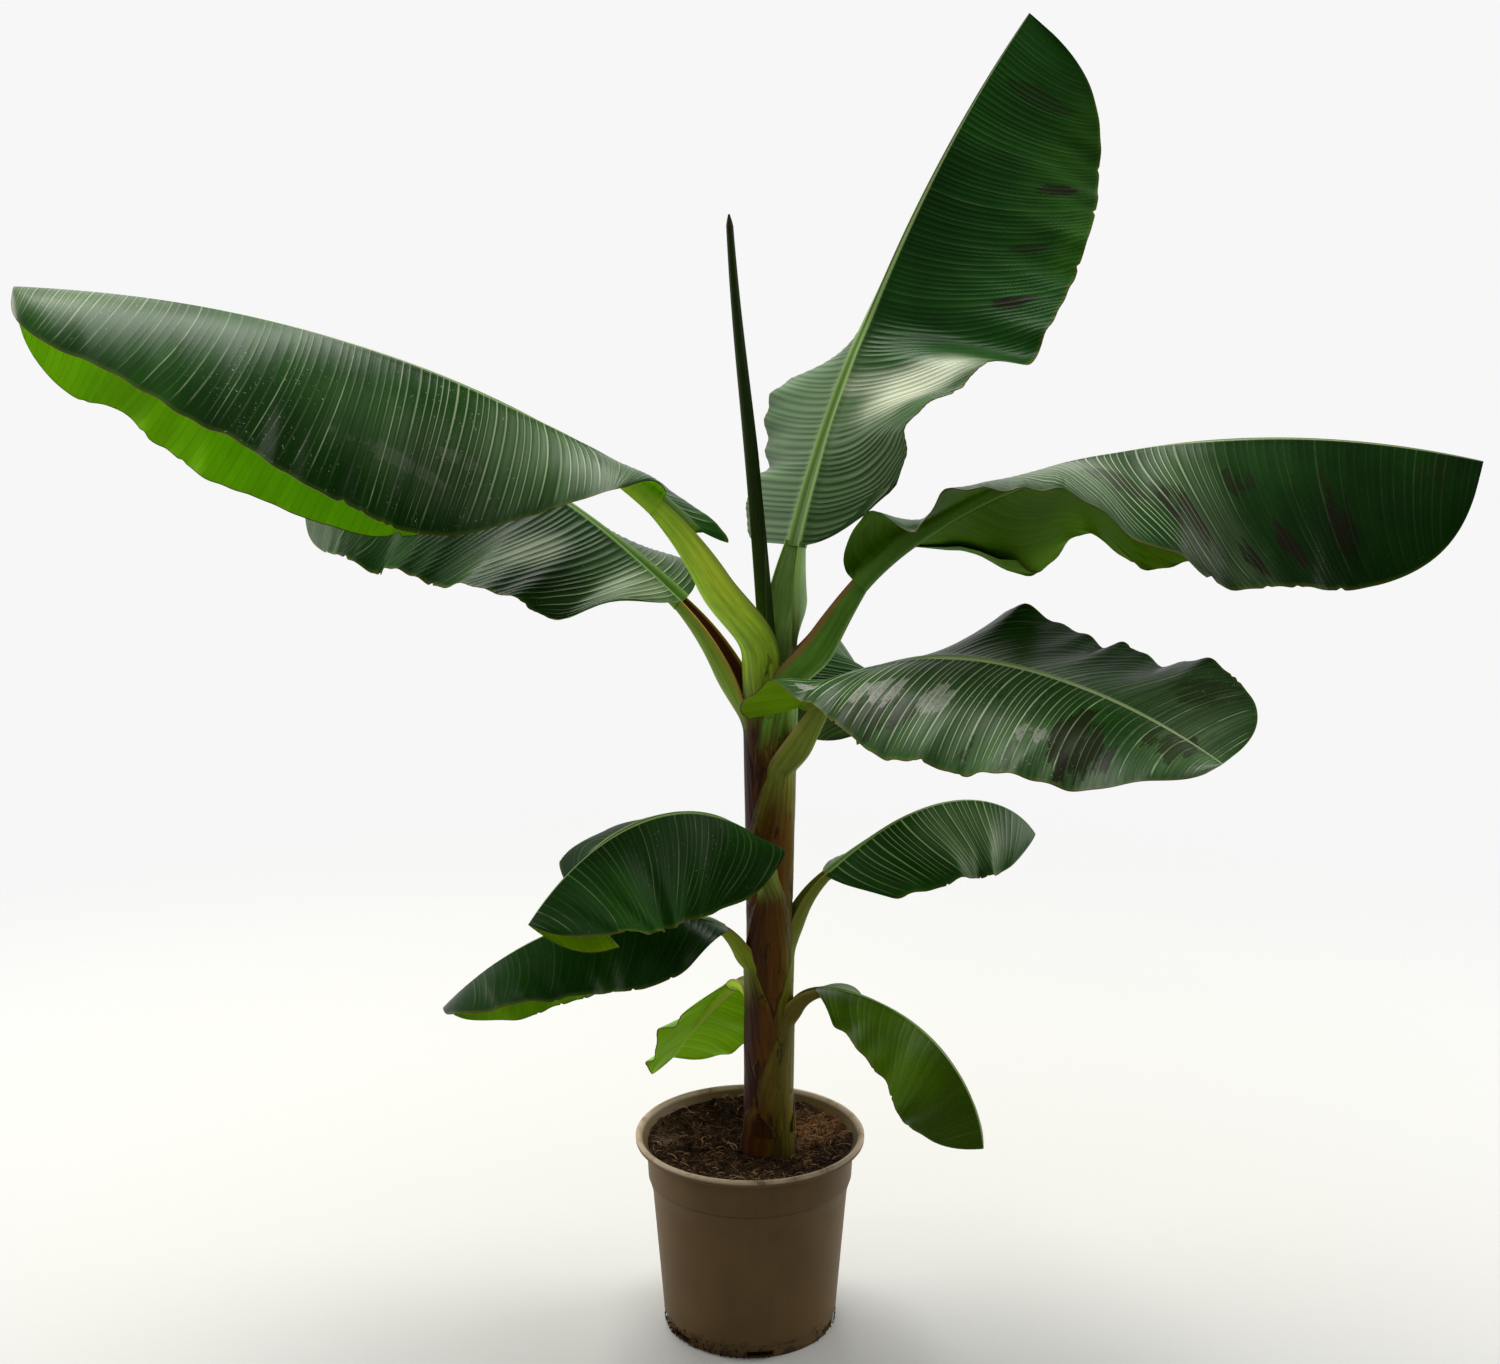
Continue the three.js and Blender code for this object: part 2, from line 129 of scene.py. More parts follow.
def objectPlace(wire):
    return wire.add("ShaderNodeTexCoord", None, None, "Object")


def emboss(wire, shader, height, strength, distance):
    bump = wire.add("ShaderNodeBump", None, {"Height": height, "Strength": strength, "Distance": distance})
    bump.feed(shader, "Normal")


# Small maths on arrays and colours

def tones(colour, *factors):
    return [tuple(channel * factor for channel in colour) for factor in factors]


def smooth(value):
    value = np.clip(value, 0, 1)
    return value * value * (3 - 2 * value)


def mix(a, b, share):
    return a + (b - a) * share


def heading(azimuth, slope):
    azimuth, slope = np.broadcast_arrays(np.radians(azimuth), np.radians(slope))
    return np.stack([np.cos(slope) * np.cos(azimuth), np.cos(slope) * np.sin(azimuth), np.sin(slope)], -1)


def easedKeys(keys, place):  # keys of a place and its amount, with an eased way from one to the next
    places, amounts = np.array(keys, float).T
    nextKey = np.clip(np.searchsorted(places, place, side="right"), 1, len(places) - 1)
    low, high = places[nextKey - 1], places[nextKey]
    return mix(amounts[nextKey - 1], amounts[nextKey], smooth((place - low) / (high - low)))


# Meshes from grids of points

def shell(upper, lower):
    # a closed skin: the upper grid, the lower grid and the rim between them
    rows, columns = upper.shape[:2]
    index = np.arange(rows * columns).reshape(rows, columns)
    top = np.stack([index[:-1, :-1], index[1:, :-1], index[1:, 1:], index[:-1, 1:]], -1).reshape(-1, 4)
    under = top[:, ::-1] + rows * columns
    rim = np.concatenate([index[0], index[1:, -1], index[-1, -2::-1], index[-2:0:-1, 0]])
    following = np.roll(rim, -1)
    edge = np.stack([rim, following, following + rows * columns, rim + rows * columns], -1)
    points = np.concatenate([upper.reshape(-1, 3), lower.reshape(-1, 3)])
    slots = np.concatenate([np.zeros(len(top)), np.ones(len(under)), np.zeros(len(edge))]).astype(int)
    return points, np.concatenate([top, under, edge]), slots


def tube(rings):
    # a closed round: rings of points from foot to top, each end drawn in to its middle
    rows, sides = rings.shape[:2]
    index = np.arange(rows * sides).reshape(rows, sides)
    turned = np.roll(index, -1, axis=1)
    walls = np.stack([index[:-1], turned[:-1], turned[1:], index[1:]], -1).reshape(-1, 4)
    points = np.concatenate([rings.reshape(-1, 3), [rings[0].mean(0), rings[-1].mean(0)]])
    foot, top = np.full(sides, rows * sides), np.full(sides, rows * sides + 1)
    caps = [np.stack([foot, turned[0], index[0]], -1), np.stack([top, index[-1], turned[-1]], -1)]
    return points, walls, np.concatenate(caps)


def meshPiece(name, points, faces, slots=None, places=None, sharp=50):
    # faces: one array or several of equal-sided faces; places: attributes at the points
    groups = faces if isinstance(faces, list) else [faces]
    corners = np.concatenate([group.ravel() for group in groups]).astype(np.int32)
    sizes = np.concatenate([np.full(len(group), group.shape[1]) for group in groups])
    mesh = bpy.data.meshes.new(name)
    mesh.vertices.add(len(points))
    mesh.vertices.foreach_set("co", np.ascontiguousarray(points, np.float32).ravel())
    mesh.loops.add(len(corners))
    mesh.loops.foreach_set("vertex_index", corners)
    mesh.polygons.add(len(sizes))
    mesh.polygons.foreach_set("loop_start", np.concatenate([[0], np.cumsum(sizes)[:-1]]).astype(np.int32))
    mesh.polygons.foreach_set("use_smooth", np.ones(len(sizes), bool))
    if slots is not None:
        mesh.polygons.foreach_set("material_index", slots.astype(np.int32))
    mesh.update(calc_edges=True)
    for place, values in (places or {}).items():
        kind, field = ("FLOAT_VECTOR", "vector") if values.ndim == 2 else ("FLOAT", "value")
        data = mesh.attributes.new(place, kind, "POINT").data
        data.foreach_set(field, np.ascontiguousarray(values, np.float32).ravel())
    mesh.set_sharp_from_angle(angle=radians(sharp))
    piece = bpy.data.objects.new(name, mesh)
    scene.collection.objects.link(piece)
    return piece


def dress(piece, slot, materials, *nodes):
    for material in materials:
        piece.data.materials.append(material)
    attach(piece, "root")
    if nodes:
        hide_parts(*nodes)


# Camera, light and floor

view = {
    "place": (0.0, -2.3, 1.307),
    "downward": 12.8,  # degrees
    "sensor": 36,
    "lens": 36 * 2093 / 1500,  # a focal length of 2093 pixels in a frame 1500 wide
}

camera = bpy.data.objects.new("camera", bpy.data.cameras.new("camera"))
camera.location = view["place"]
camera.rotation_euler = (radians(90 - view["downward"]), 0, 0)
camera.data.lens = view["lens"]
camera.data.sensor_width = view["sensor"]
scene.collection.objects.link(camera)
scene.camera = camera
scene.view_settings.view_transform = "Standard"

lamps = {
    "overhead": {"place": (-0.5, 1.5, 4.0), "aim": (0, 0, 0.9),
                 "size": 2.2, "watts": 150, "tint": (1, 1, 0.96)},
    "leftWindow": {"place": (-3.2, 1.0, 1.7), "aim": (0, 0, 0.5),
                   "size": 1.8, "watts": 62, "tint": (1, 0.95, 0.86)},
    "rightWindow": {"place": (3.2, 1.0, 1.7), "aim": (0, 0, 0.5),
                    "size": 1.8, "watts": 66, "tint": (1, 0.97, 0.91)},
    "front": {"place": (-0.9, -3.0, 2.6), "aim": (0, 0, 0.8),
              "size": 1.6, "watts": 8, "tint": (1, 1, 1)},
}

for name, lamp in lamps.items():
    light = bpy.data.lights.new(name, "AREA")
    light.size = lamp["size"]
    light.energy = lamp["watts"]
    light.color = lamp["tint"]
    holder = bpy.data.objects.new(name, light)
    holder.location = lamp["place"]
    aim = np.array(lamp["aim"]) - np.array(lamp["place"])
    flat = np.hypot(aim[0], aim[1])
    holder.rotation_euler = (np.arctan2(flat, -aim[2]), 0, np.arctan2(aim[1], aim[0]) - pi / 2)
    scene.collection.objects.link(holder)

studio = {
    "backWall": (0.93, 0.93, 0.93), "frontWall": (0.12, 0.12, 0.12), "ceiling": (0.5, 0.5, 0.5),
    "wallTurn": (-0.35, 0.35), "ceilingTurn": (0.25, 0.7),
    "floorReach": 4.0, "floorColour": (0.58, 0.58, 0.57), "floorGrain": 0.985, "floorFade": (0.7, 2.4),
}

world = bpy.data.worlds.new("studio")
world.use_nodes = True
room = Wire(world.node_tree)
depthwise, upwards = room.add("ShaderNodeTexCoord", None, None, "Generated").parts()[1:]
room = depthwise.step(*studio["wallTurn"]).blend(studio["frontWall"], studio["backWall"])
room = upwards.step(*studio["ceilingTurn"]).blend(room, studio["ceiling"])
room.feed(world.node_tree.nodes["Background"], "Color")
scene.world = world

floorCorners = np.array([[-1, -1, 0], [1, -1, 0], [1, 1, 0], [-1, 1, 0]]) * studio["floorReach"]
floor = meshPiece("floor", floorCorners, np.array([[0, 1, 2, 3]]))
floorPaint, wire, shader = newFinish("floorPaint", specular=0.12)
floorPlace = objectPlace(wire)
floorTones = tones(studio["floorColour"], 1, studio["floorGrain"])
floorPlace.noise(40, 3).blend(*floorTones).feed(shader, "Base Color")
shader.inputs["Roughness"].default_value = 0.8
clearAir = wire.add("ShaderNodeBsdfTransparent")  # the floor melts into the wall, with no edge to see
melted = wire.add("ShaderNodeMixShader", None, {
    0: floorPlace.length().step(*studio["floorFade"]), 1: Wire(wire.tree, shader.outputs[0]), 2: clearAir})
melted.feed(floorPaint.node_tree.nodes["Material Output"], "Surface")
floor.data.materials.append(floorPaint)
print("camera, light and floor")


# Leaves, youngest first. Lengths in metres, angles in degrees. A petiole leaves the stem at height attach
# towards azimuth and goes from slope rise to lift; the blade goes on to the slope droop. Each half of the
# blade hangs below flat by angles keyed along it and curls a little more towards its margin. A wave has a
# height, a count and a start; a fold has its side, its place, its spread and its height.

usualLeaf = {
    "span": 60, "wrap": 0, "sheath": 0.15, "turn": 0, "sweep": 0, "roll": 0, "twist": 0, "pleat": 1,
    "leftFoot": 0.12, "rightFoot": 0.12, "footPower": 2, "leftBase": 0.8, "rightBase": 0.8, "folds": [],
    "veinPitch": 0.0085, "leftVeins": [], "ribWide": 1,
    "green": (0.008, 0.040, 0.003), "vein": 0.5, "blotch": 0.0, "residue": 0.1, "rib": (0.06, 0.13, 0.02),
    # lights are painted sheen, glare highlights, lit patches and painted shade on the upper side, and
    # patches where the pale vein lines show more; marks are stains and dust
    "lights": [], "marks": [],  # each a kind, then along, across, length, width and strength
    # under is the underside's paler green together with painted light shining through the blade
    "under": (0.12, 0.30, 0.004), "underVein": 0.55, "gloss": 0.34, "shine": 0.07,
    "stalk": (0.15, 0.20, 0.03), "stalkEdge": (0.28, 0.20, 0.04), "inside": (0.16, 0.22, 0.03),
    "browned": (-0.1, 0.55), "glow": 0,
}

leaves = [{**usualLeaf, **leaf} for leaf in [
    {"name": "top", "attach": 0.826, "azimuth": 42, "petiole": 0.112, "rise": 90, "lift": 72,
     "sheath": 0.062, "blade": 0.710, "droop": 45, "bend": 0.85, "width": 0.402, "wave": (0.007, 4, 0.1),
     "left": [[0, 20], [0.12, 17], [0.26, 18], [0.48, 58], [1, 72]], "leftCurl": 6,
     "right": [[0, 14], [0.10, 8], [0.19, -4], [0.31, 6], [0.41, 40], [1, 70]], "rightCurl": -15,
     "leftFoot": 0.0, "rightFoot": 0.11, "rightBase": 0.70, "veinPitch": 0.0072, "pleat": 1.1,
     "folds": [("left", 0.14, 0.02, -0.012)], "green": (0.006, 0.050, 0.002), "vein": 0.15, "residue": 0.0,
     "lights": [("paintedSheen", 0.05, 0.0, 0.17, 0.26, 1.0), ("paintedSheen", 0.20, 0.10, 0.10, 0.14, 0.9),
                ("glare", 0.166, -0.115, 0.044, 0.070, 0.95), ("glare", 0.190, -0.05, 0.02, 0.06, 0.35),
                ("lit", 0.60, -0.15, 0.22, 0.06, 0.4), ("lit", 0.38, -0.19, 0.06, 0.03, 0.6)],
     "marks": [("stain", 0.485, -0.133, 0.012, 0.035, 0.9), ("stain", 0.389, -0.140, 0.009, 0.024, 0.6),
               ("stain", 0.300, -0.150, 0.010, 0.032, 0.9), ("stain", 0.622, -0.070, 0.014, 0.05, 0.5)],
     "under": (0.10, 0.28, 0.006), "stalk": (0.20, 0.34, 0.10), "stalkEdge": (0.22, 0.36, 0.05),
     "inside": (0.24, 0.38, 0.11), "browned": (-1.2, -0.8)},
    {"name": "upper_left", "attach": 0.812, "span": 104, "azimuth": 193, "petiole": 0.215, "rise": 74,
     "lift": 43, "blade": 0.707, "droop": 3, "bend": 0.72, "width": 0.400, "roll": 10, "twist": 10,
     "wave": (0.006, 5, 0), "left": [[0, -20], [0.3, 46], [1, 15]], "leftCurl": 50,
     "leftVeins": [[0, 0.07], [0.2, -0.06], [0.42, -0.02], [0.6, 0.13], [0.76, 0.28], [1, 0.55]],
     "right": [[-0.13, -58], [0, -38], [0.12, 10], [0.25, 52], [0.5, 53], [0.68, 44], [0.78, 33], [0.86, 18],
               [0.93, 24], [1, 20]],
     "rightCurl": 25, "rightFoot": -0.13, "footPower": 0.45, "leftBase": 0.5, "rightBase": 0.28,
     "pleat": 0.36, "vein": 0.75, "residue": 0.9,
     "green": (0.009, 0.050, 0.003), "under": (0.26, 0.66, 0.003),
     "lights": [("paintedSheen", 0.17, 0.05, 0.07, 0.05, 0.8), ("paintedSheen", 0.07, 0.09, 0.07, 0.08, 0.7),
                ("paintedSheen", 0.66, 0.03, 0.14, 0.05, 0.9), ("paintedSheen", 0.24, 0.11, 0.14, 0.06, 0.5),
                ("veined", 0.20, 0.06, 0.16, 0.09, 0.9), ("veined", 0.62, 0.03, 0.14, 0.06, 0.7)],
     "marks": [("dust", 0.30, 0.132, 0.06, 0.010, 0.12), ("dust", 0.24, 0.100, 0.03, 0.010, 0.15)],
     "stalk": (0.46, 0.74, 0.05), "stalkEdge": (0.36, 0.50, 0.06), "inside": (0.52, 0.76, 0.04),
     "browned": (-0.6, 0.4), "glow": 1.0},
    {"name": "upper_right", "attach": 0.772, "span": 90, "wrap": 0.002, "azimuth": 351, "petiole": 0.155,
     "rise": 64, "lift": 51, "blade": 0.700, "droop": -12, "bend": 0.64, "width": 0.385, "sweep": -3,
     "twist": 10, "wave": (0.008, 4, 0), "leftFoot": 0.24, "pleat": 0.5,
     "left": [[0, -15], [0.14, 20], [0.24, 38], [0.36, 24], [0.5, 46], [1, 43]], "leftCurl": 25,
     "right": [[0, -34], [0.1, -34], [0.165, -13], [0.24, -18], [0.36, -14], [0.5, 14], [0.66, 36], [1, 55]],
     "rightCurl": 15, "vein": 0.14, "blotch": 0.4,
     "green": (0.006, 0.037, 0.002), "under": (0.095, 0.22, 0.003),
     "lights": [("paintedSheen", 0.24, -0.05, 0.09, 0.10, 0.6), ("paintedSheen", 0.38, -0.10, 0.05, 0.16, 0.6),
                ("glare", 0.24, -0.06, 0.06, 0.05, 0.12), ("veined", 0.26, -0.07, 0.17, 0.16, 1.2)],
     "marks": [("stain", 0.350, -0.120, 0.03, 0.05, 0.8), ("stain", 0.404, -0.150, 0.014, 0.030, 0.9),
               ("stain", 0.461, -0.130, 0.020, 0.03, 0.9), ("stain", 0.542, -0.100, 0.018, 0.04, 0.8),
               ("stain", 0.300, -0.090, 0.030, 0.03, 0.6), ("stain", 0.440, -0.060, 0.025, 0.02, 0.6)],
     "stalk": (0.18, 0.37, 0.05), "stalkEdge": (0.50, 0.16, 0.07), "browned": (-0.5, 0.0)},
    {"name": "second_left", "attach": 0.724, "azimuth": 158, "petiole": 0.176, "rise": 75, "lift": 40,
     "sheath": 0.2, "blade": 0.560, "droop": -47, "bend": 1.86, "width": 0.370, "sweep": 2, "twist": -30,
     "wave": (0.010, 4, 0), "left": [[0, 5], [0.3, 20], [0.6, 22], [1, 8]], "leftCurl": 5,
     "right": [[0, -18], [0.3, 32], [1, 40]], "rightCurl": 30,
     "folds": [("left", 0.12, 0.04, -0.030), ("left", 0.23, 0.05, 0.014)],
     "lights": [("paintedSheen", 0.05, 0.02, 0.06, 0.12, 0.5), ("paintedSheen", 0.15, 0.12, 0.045, 0.06, 0.4),
                ("glare", 0.035, 0.045, 0.035, 0.04, 0.22), ("glare", 0.14, 0.09, 0.03, 0.04, 0.2),
                ("shade", 0.078, 0.12, 0.030, 0.06, 0.95), ("veined", 0.03, 0.05, 0.06, 0.12, 1.0)],
     "pleat": 0.8, "residue": 0.3, "stalk": (0.19, 0.31, 0.025), "stalkEdge": (0.46, 0.34, 0.05),
     "inside": (0.07, 0.012, 0.008), "browned": (-0.1, 0.3)},
    {"name": "middle_right", "attach": 0.679, "span": 62, "wrap": 0.0015, "azimuth": 321, "petiole": 0.120,
     "rise": 60, "lift": 52, "blade": 0.500, "droop": -27, "bend": 0.52, "width": 0.350, "sweep": 3,
     "twist": -20, "wave": (0.008, 4, 0),
     "left": [[0, 10], [0.18, 2], [0.36, -13], [0.55, -8], [1, -32]], "leftCurl": -5,
     "right": [[-0.14, -70], [0, -44], [0.08, -14], [0.20, 8], [0.5, 16], [0.82, 14], [1, 2]],
     "rightCurl": 40, "rightFoot": -0.14, "footPower": 0.7, "rightBase": 0.48, "pleat": 0.5, "ribWide": 1.5,
     "folds": [("left", 0.53, 0.035, -0.010)], "rib": (0.46, 0.58, 0.28), "under": (0.22, 0.42, 0.006),
     "vein": 0.95, "blotch": 0.5, "residue": 0.7, "green": (0.011, 0.053, 0.006),
     "lights": [("paintedSheen", 0.20, -0.08, 0.18, 0.14, 0.35), ("paintedSheen", 0.40, 0.07, 0.09, 0.10, 0.7),
                ("paintedSheen", 0.46, -0.02, 0.05, 0.08, 0.7), ("paintedSheen", 0.33, -0.13, 0.14, 0.05, 0.6),
                ("veined", 0.20, -0.06, 0.20, 0.12, 1.3)],
     "marks": [("stain", 0.376, -0.095, 0.045, 0.060, 0.8), ("stain", 0.451, -0.030, 0.036, 0.045, 0.7),
               ("stain", 0.407, 0.096, 0.035, 0.045, 0.5), ("stain", 0.15, -0.115, 0.06, 0.04, 0.6),
               ("dust", 0.153, -0.080, 0.028, 0.026, 0.7), ("dust", 0.215, -0.090, 0.026, 0.026, 0.6),
               ("dust", 0.073, -0.064, 0.012, 0.008, 0.9), ("dust", 0.336, -0.109, 0.022, 0.016, 0.6)],
     "stalk": (0.21, 0.26, 0.035), "stalkEdge": (0.40, 0.30, 0.10), "browned": (-0.5, 0.35)},
    {"name": "back", "attach": 0.622, "span": 46, "azimuth": 72, "petiole": 0.130, "rise": 75, "lift": 50,
     "blade": 0.420, "droop": -88, "bend": 1, "width": 0.265, "wave": (0.008, 3, 0.2),
     "left": [[0, 10], [0.3, 50], [1, 50]], "leftCurl": 20, "under": (0.085, 0.15, 0.040), "underVein": 6.0,
     "right": [[0, -20], [0.2, 15], [0.5, 48], [1, 64]], "rightCurl": 20, "vein": 0.9, "residue": 0.15},
    {"name": "front_left", "attach": 0.530, "span": 42, "azimuth": 274, "turn": -50, "petiole": 0.070,
     "rise": 85, "lift": 60, "blade": 0.385, "droop": -45, "bend": 0.74, "width": 0.240, "sweep": 2,
     "wave": (0.004, 4, 0),
     "left": [[0, -10], [0.3, 60], [0.58, 58], [0.78, 30], [0.9, 8], [1, -6]], "leftCurl": 27,
     "right": [[0, 20], [0.3, 38], [0.44, 36], [0.54, 14], [0.65, 13], [0.75, 62], [0.86, 94], [1, 100]],
     "rightCurl": 28, "pleat": 0.16, "vein": 0.3, "blotch": 0.1, "residue": 0.4,
     "green": (0.007, 0.038, 0.002), "gloss": 0.5, "shine": 0.035, "under": (0.26, 0.44, 0.003)},
    {"name": "lower_right", "attach": 0.454, "span": 46, "azimuth": 14, "petiole": 0.115, "rise": 88,
     "lift": 38, "blade": 0.300, "droop": -58, "bend": 1.92, "width": 0.215, "sweep": 2,
     "wave": (0.004, 4, 0), "left": [[0, 5], [0.3, 40], [1, 40]], "leftCurl": 30,
     "right": [[0, 20], [0.3, 24], [1, 40]], "rightCurl": 22, "pleat": 0.4,
     "lights": [("paintedSheen", 0.17, -0.05, 0.08, 0.05, 1.0), ("veined", 0.15, -0.04, 0.12, 0.09, 1.0)],
     "green": (0.011, 0.052, 0.004), "stalk": (0.16, 0.19, 0.02), "browned": (-0.4, 0.1)},
    {"name": "lower_left", "attach": 0.443, "span": 46, "azimuth": 197, "petiole": 0.067, "rise": 75,
     "lift": 37, "blade": 0.359, "droop": -44, "bend": 0.72, "width": 0.185, "roll": 8, "twist": 8,
     "wave": (0.004, 4, 0),
     "left": [[0, 5], [0.3, 56], [0.5, 44], [0.65, 30], [0.85, 13], [1, -6]], "leftCurl": 28,
     "right": [[0, -10], [0.34, 68], [0.8, 60], [1, 40]], "rightCurl": 22,
     "pleat": 0.18, "vein": 0.22, "green": (0.006, 0.034, 0.002), "under": (0.17, 0.40, 0.003),
     "stalk": (0.26, 0.33, 0.02), "browned": (-0.35, 0.5)},
    {"name": "small_back", "attach": 0.395, "span": 46, "azimuth": 126, "petiole": 0.074, "rise": 53,
     "lift": -45, "blade": 0.186, "droop": -51, "bend": 1, "width": 0.150, "wave": (0.003, 3, 0),
     "left": [[0, 5], [0.3, 0], [1, 12]], "leftCurl": 20,
     "right": [[0, 10], [0.3, 22], [1, 15]], "rightCurl": 18,
     "veinPitch": 0.008, "vein": 0.3, "green": (0.14, 0.36, 0.003), "under": (0.30, 0.66, 0.003),
     "stalk": (0.44, 0.66, 0.05)},
    {"name": "lowest_right", "attach": 0.371, "span": 46, "azimuth": 338, "petiole": 0.077, "rise": 88,
     "lift": 13, "blade": 0.293, "droop": -85, "bend": 0.85, "width": 0.178, "sweep": 7, "twist": 12,
     "wave": (0.004, 4, 0), "left": [[0, 5], [0.3, 50], [0.6, 40], [1, 18]], "leftCurl": 10,
     "right": [[0, -15], [0.3, 5], [1, 60]], "rightCurl": 20,
     "pleat": 0.25, "vein": 0.15, "green": (0.046, 0.098, 0.002), "shine": 0.04,
     "stalk": (0.13, 0.10, 0.012), "browned": (-0.9, 0.0)},
]]

stem = {
    "x": 0.022, "foot": 0.21435, "top": 0.806, "radius": 0.025, "flare": 0.008, "flareHeight": 0.08,
    "crownSwell": 0.002, "crownStart": 0.69, "crownRound": 0.016, "crownEnd": 0.55, "flute": 0.03,
    "fluteTurn": 6.0, "ridges": 31, "ridgeHeight": 0.0003, "ridgeSway": (3, 9),  # amount, rate upwards
    "lumpHeight": 0.0006, "lumpRates": (3, 41, 67), "sides": 128, "rows": 260,
}

stalk = {
    "steps": 240, "startDepth": 0.6, "settle": 0.22, "sleeveEnd": 0.5, "footWidth": 0.030, "tipShare": 0.017,
    "leastTip": 0.0066, "spread": 2.5, "depthShare": 1.7, "footRim": 0.15, "tipRim": 0.05,
    "channelFloor": 0.45, "edge": 0.0012, "wall": 0.004, "footWall": 0.0008, "thinEdge": 0.75,
    "thinPower": 6, "innerGap": 0.0012, "sheathSpan": 150, "sheathPower": 0.8, "intoBlade": 0.006,
    "columns": 48, "rowPitch": 0.0025, "seed": 100,
    "ragged": [(0.05, 90), (0.03, 230)],  # share of the span, rate along the stalk
    "fibres": [(0.00022, 37), (0.00012, 83)], "fibreSway": (1.5, 12),
}


def stemRadius(height):
    flare = stem["flare"] * np.exp(-(height - stem["foot"]) / stem["flareHeight"])
    swell = stem["crownSwell"] * smooth((height - stem["crownStart"]) / (stem["top"] - stem["crownStart"]))
    return stem["radius"] + flare + swell


def leafLine(leaf):
    # the leaf's line from the foot of its sheath to its tip, by distance from the blade's base
    u = np.linspace(0, 1, stalk["steps"] + 1)
    between = (u[1:] + u[:-1]) / 2
    turned = leaf["azimuth"] + leaf["turn"]

    def aimOfStalk(share):
        upright = np.clip(1 - share / stalk["settle"], 0, 1) ** 2
        return mix(leaf["azimuth"], turned, share), mix(mix(leaf["rise"], leaf["lift"], share), 90, upright)

    def aimOfBlade(share):
        return turned + leaf["sweep"] * share, mix(leaf["lift"], leaf["droop"], share ** leaf["bend"])

    foot = heading(leaf["azimuth"], 0) * stemRadius(leaf["attach"]) * stalk["startDepth"]
    foot = foot + [stem["x"], 0, leaf["attach"] - leaf["sheath"]]
    knee = foot + [0, 0, leaf["sheath"]]
    stalkWay = np.cumsum(heading(*aimOfStalk(between)), axis=0) * leaf["petiole"] / stalk["steps"]
    bladeWay = np.cumsum(heading(*aimOfBlade(between)), axis=0) * leaf["blade"] / stalk["steps"]
    stalkPoints = knee + stalkWay
    bladePoints = stalkPoints[-1] + bladeWay
    return {
        "distance": np.concatenate([[-leaf["petiole"] - leaf["sheath"]], (u - 1) * leaf["petiole"],
                                    u[1:] * leaf["blade"]]),
        "point": np.concatenate([[foot, knee], stalkPoints, bladePoints]),
        "azimuth": np.concatenate([[leaf["azimuth"]], aimOfStalk(u)[0], aimOfBlade(u[1:])[0]]),
        "slope": np.concatenate([[90], aimOfStalk(u)[1], aimOfBlade(u[1:])[1]]),
    }


def lineAt(line, distance):
    point = np.stack([np.interp(distance, line["distance"], axis) for axis in line["point"].T], -1)
    azimuth = np.interp(distance, line["distance"], line["azimuth"])
    slope = np.interp(distance, line["distance"], line["slope"])
    left = heading(azimuth + 90, np.zeros_like(slope))
    return point, left, np.cross(heading(azimuth, slope), left)


def stalkTip(leaf):  # half the stalk's width where the blade begins
    return max(leaf["blade"] * stalk["tipShare"], stalk["leastTip"])


# Blades: two thin skins over the leaf's surface, pleated along the veins, with a channelled midrib

blade = {
    "seat": 0.0007, "thickness": 0.001, "rowsToVein": 6, "columns": 24, "columnsToRib": 1.6, "seed": 7,
    "tipShare": 0.04, "tipRows": 30, "widestAt": 0.42, "tipPower": 2.6, "tipRound": 0.31, "tipWidth": 0.006,
    "lobeRound": 0.07, "lobeWidth": 0.7, "tipVein": 0.5, "leanPower": 1.6,
    "wavePower": 1.6, "rightWaveShift": 0.37, "waveAtBase": 0.2, "waveGrowth": 5, "waveLoss": 4,
    "ripple": 0.0022, "ripplePower": 3, "ripplePerMetre": (13, 27), "foldPower": 1.4, "foldRound": 0.006,
    "nicks": 5, "nickRange": (0.08, 0.92), "nickDepth": (0.006, 0.03), "nickWidth": 0.008, "nickPower": 6,
    "ribTip": 0.10, "ribTaper": 0.8, "ribDepth": 0.95, "depthTaper": 1.5, "ribBack": 1.25,
    "ribLip": 0.16, "lipSpread": 0.4, "ribGroove": 0.3, "grooveSpread": 0.55,
    "basePleat": 0.0017, "tipPleat": 0.0007, "pleatMiddle": 0.6, "pleatStart": 0.4,
    "pleatLoss": 0.6, "pleatEnd": 8,
    "veinDrift": [(0.047, 0.28), (0.021, 0.06)],  # metres, share of a pitch
    "veinLine": (0.02, 0.12), "finePitch": 0.0017,
}


def widthShare(share, baseWidth):
    beyond = np.clip((share - blade["widestAt"]) / (1 - blade["widestAt"]), 0, 1)
    tip = np.maximum((1 - beyond ** blade["tipPower"]) ** blade["tipRound"], blade["tipWidth"])
    return np.where(share < blade["widestAt"], mix(baseWidth, 1, smooth(share / blade["widestAt"])), tip)


